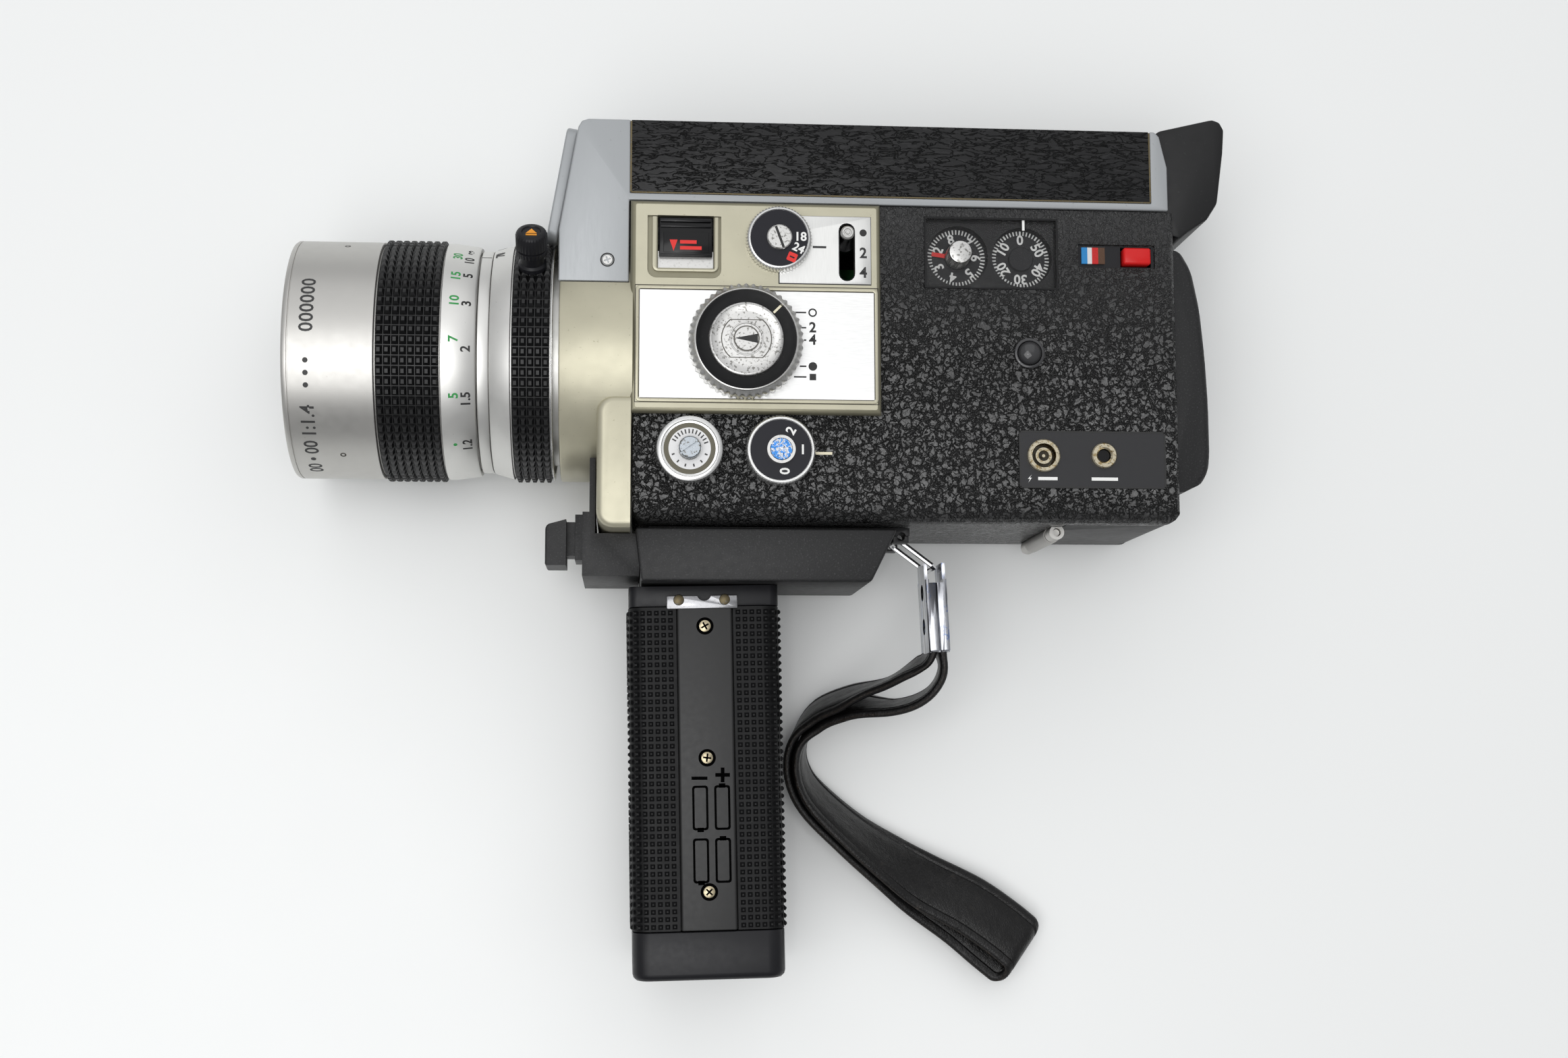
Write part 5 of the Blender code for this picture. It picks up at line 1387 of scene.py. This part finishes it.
def strap_frames():
    """Centres, width directions and outward directions along the whole loop."""
    route = smooth_route(STRAP_ROUTE)
    frames = []
    for i, (x, y, z, lean_x, lean_y, half, slide, size) in enumerate(route):
        before, after = route[max(i - 1, 0)], route[min(i + 1, len(route) - 1)]
        along = (Vector(after[:3]) - Vector(before[:3])).normalized()
        width = Vector((lean_x, lean_y, math.sqrt(max(0.05, 1 - lean_x ** 2 - lean_y ** 2))))
        width = (width - along * width.dot(along)).normalized()
        out = along.cross(width)
        frames.append((Vector((x, y, z)), width, out, half, along, slide / 2, size))
    loop = [(centre - out * half - width * slide, width, -out, size)
            for centre, width, out, half, along, slide, size in frames]
    centre, width, out, half, along, slide, size = frames[-1]
    for step in range(1, 12):
        a = math.pi * step / 12
        direction = -out * math.cos(a) + along * math.sin(a)
        loop.append((centre + direction * half - width * slide * math.cos(a), width, direction, size))
    loop += [(centre + out * half + width * slide, width, out, size)
             for centre, width, out, half, along, slide, size in frames[::-1]]
    return loop


def strip_section(width, thick, crown):
    """Half of a strip's section is flat with a low crown, and its edges are round."""
    half_w, half_t = width / 2, thick / 2
    section = []
    for k in range(6):
        a = math.pi * (k / 5 - 0.5)
        section.append((half_w - half_t + half_t * math.cos(a), half_t * math.sin(a)))
    for share in HEM:
        sink = HEM_SINK if abs(share) == 0.8 else 1 + crown * 0.3
        section.append((share * (half_w - half_t), half_t * sink))
    for k in range(6):
        a = math.pi * (k / 5 + 0.5)
        section.append((-half_w + half_t + half_t * math.cos(a), half_t * math.sin(a)))
    for share in HEM[::-1]:
        sink = HEM_SINK if abs(share) == 0.8 else 1 + crown * 0.3
        section.append((share * (half_w - half_t), -half_t * sink))
    return section


def ribbon(frames, thick, crown=0.25):
    """A strip swept through (centre, direction across, direction outward, width) frames."""
    shape = bmesh.new()
    rings = [[shape.verts.new(centre + across * u + out * v) for u, v in strip_section(width, thick, crown)]
             for centre, across, out, width in frames]
    for first, second in zip(rings, rings[1:]):
        for k in range(len(first)):
            n = (k + 1) % len(first)
            shape.faces.new((first[k], first[n], second[n], second[k]))
    shape.faces.new(rings[0])
    shape.faces.new(rings[-1])
    bmesh.ops.recalc_face_normals(shape, faces=shape.faces)
    return shape


def strap():
    frames = strap_frames()
    leather = stand_in("strap_leather", ribbon(frames, STRAP_THICK), "hide", "strap")
    seams = []
    for side in (-1, 1):
        edge = [(centre + across * side * (width / 2 - 0.12), out, across, 0.7)
                for centre, across, out, width in frames]
        seams.append(ribbon(edge, 0.36, 0))
    seam = piece("strap_seam", joined(*seams), "hide_inner", "strap")
    refined("strap_link", "chrome", 0.0)
    clamp()


def clamp():
    """The chrome clamp: a folded sheet with two lobes on its face and two holes in its side."""
    def lobe(x):
        return block((x - 1.55, x + 1.55), (-92.0, -66.4), (41.2, 42.9), 0.7, 4)
    body = block((17.5, 23.6), (-92.0, -66.2), (26.7, 42.2), 0.8, 3, "y")
    room = block((18.4, 22.6), (-72.0, -60.0), (25.0, 45.0))
    foot = block((18.2, 22.9), (-95.0, -84.0), (27.4, 41.6))
    ears = [block((10, 30), (-71.0, -60.0), (20.0, 28.6)), block((10, 30), (-71.0, -60.0), (40.6, 50.0))]
    holes = [rod(10, 20, 2.4, X, (0, y, 34.9), 40) for y in (-74.3, -84.2)]
    shape = carved(body, cut=[room, foot] + ears + holes, add=[lobe(19.0), lobe(22.1)])
    rotated(shape, math.radians(2.6), "Z", (20.4, -66.0, 0))
    # the clamp's chrome carries painted reflections
    stand_in("ferrule_clamp", shape, "worn_chrome", "strap_ferrule", 0.15, 2)


# ---- Hidden and inner nodes ------------------------------------------------------------------

def inner_nodes():
    looks = {"steel": "dial", "board": "green", "cell_wrapper": "brass", "dark_plastic": "plastic",
             "glass": "lens"}
    cells = ["battery_cell_%d" % number for number in (1, 2, 3, 4)]
    for node in ["variator_lens", "relay_lens", "beam_splitter", "iris_vane", "film_cartridge", "film_gate",
                 "shutter_disc", "motor", "circuit_board", "take_up_spindle"] + cells:
        made = frame["nodes"][node]
        made.data.materials.clear()
        made.data.materials.append(LOOK[looks[SLOT_OF[node]]])


# ---- Stage -----------------------------------------------------------------------------------

SKY_HORIZON, SKY_TOP = 0.32, 0.66


def table():
    floor_look = Surface("floor", (0.90, 0.91, 0.90), 0.32)
    floor_look.rough(floor_look.noise(60.0, 3.0), 0.26, 0.40)
    floor = store("floor", block((-3000, 3000), (-3000, 3000), (-2.0, -0.02)))
    floor.data.materials.append(floor_look.material)


def sky():
    """A soft white surround, brighter above and behind the camera's top."""
    scene = bpy.context.scene
    scene.view_settings.view_transform = "Standard"
    scene.world = bpy.data.worlds.new("studio")
    scene.world.use_nodes = True
    tree = scene.world.node_tree
    split = tree.nodes.new("ShaderNodeSeparateXYZ")
    tree.links.new(tree.nodes.new("ShaderNodeTexCoord").outputs["Generated"], split.inputs[0])
    level = None
    for axis, low, high in (("Z", SKY_HORIZON, SKY_TOP), ("Y", 0.55, 1.25)):
        ramp = tree.nodes.new("ShaderNodeMapRange")
        ramp.inputs["From Min"].default_value = 0.0 if axis == "Z" else -1.0
        ramp.inputs["To Min"].default_value = low
        ramp.inputs["To Max"].default_value = high
        tree.links.new(split.outputs[axis], ramp.inputs["Value"])
        if level:
            product = tree.nodes.new("ShaderNodeMath")
            product.operation = "MULTIPLY"
            tree.links.new(level, product.inputs[0])
            tree.links.new(ramp.outputs["Result"], product.inputs[1])
            level = product.outputs[0]
        else:
            level = ramp.outputs["Result"]
    tree.nodes["Background"].inputs["Color"].default_value = (0.97, 0.98, 1.0, 1)
    tree.links.new(level, tree.nodes["Background"].inputs["Strength"])


def lamps():
    for name, place, size, power in (("key", (-0.34, -0.34, 1.45), 1.25, 11.0),
                                     ("back", (0.1, 1.1, 1.3), 2.0, 5.0),
                                     ("spark", (-0.26, -0.22, 1.6), 0.06, 0.6)):
        light = bpy.data.lights.new(name, "AREA")
        light.shape, light.size, light.energy = "SQUARE", size, power
        lamp = bpy.data.objects.new(name, light)
        lamp.location = place
        lamp.rotation_euler = (Vector((-0.02, -0.05, 0)) - Vector(place)).to_track_quat("-Z", "Y").to_euler()
        bpy.context.scene.collection.objects.link(lamp)


def camera():
    """The view straight down on the left side from 0.6 m, a little below the lens axis."""
    lens_data = bpy.data.cameras.new("view")
    lens_data.lens, lens_data.sensor_width = 44.555, 36.0
    view = bpy.data.objects.new("view", lens_data)
    right = Vector((0.99669589, -0.00236082, 0.08118951))
    up = Vector((-0.00716199, 0.99312964, 0.11679995))
    back = Vector((-0.08090745, -0.11699551, 0.98983132))
    view.matrix_world = (Matrix.Translation((-0.06808, -0.12190, 0.59332))
                         @ Matrix((right, up, back)).transposed().to_4x4())
    bpy.context.scene.collection.objects.link(view)
    bpy.context.scene.camera = view


lens()
housing()
casing()
top()
panel()
panel_rims()
upper_plate()
slow_motion_key()
speed_dial()
shutter_lever()
fade_dial()
aperture_knob()
power_dial()
panel_marks()
counters()
battery_check()
dome_button()
jacks()
rear()
hinge_tube()
grip()
grip_strip()
hinge_plate()
strap()
inner_nodes()
table()
sky()
lamps()
camera()
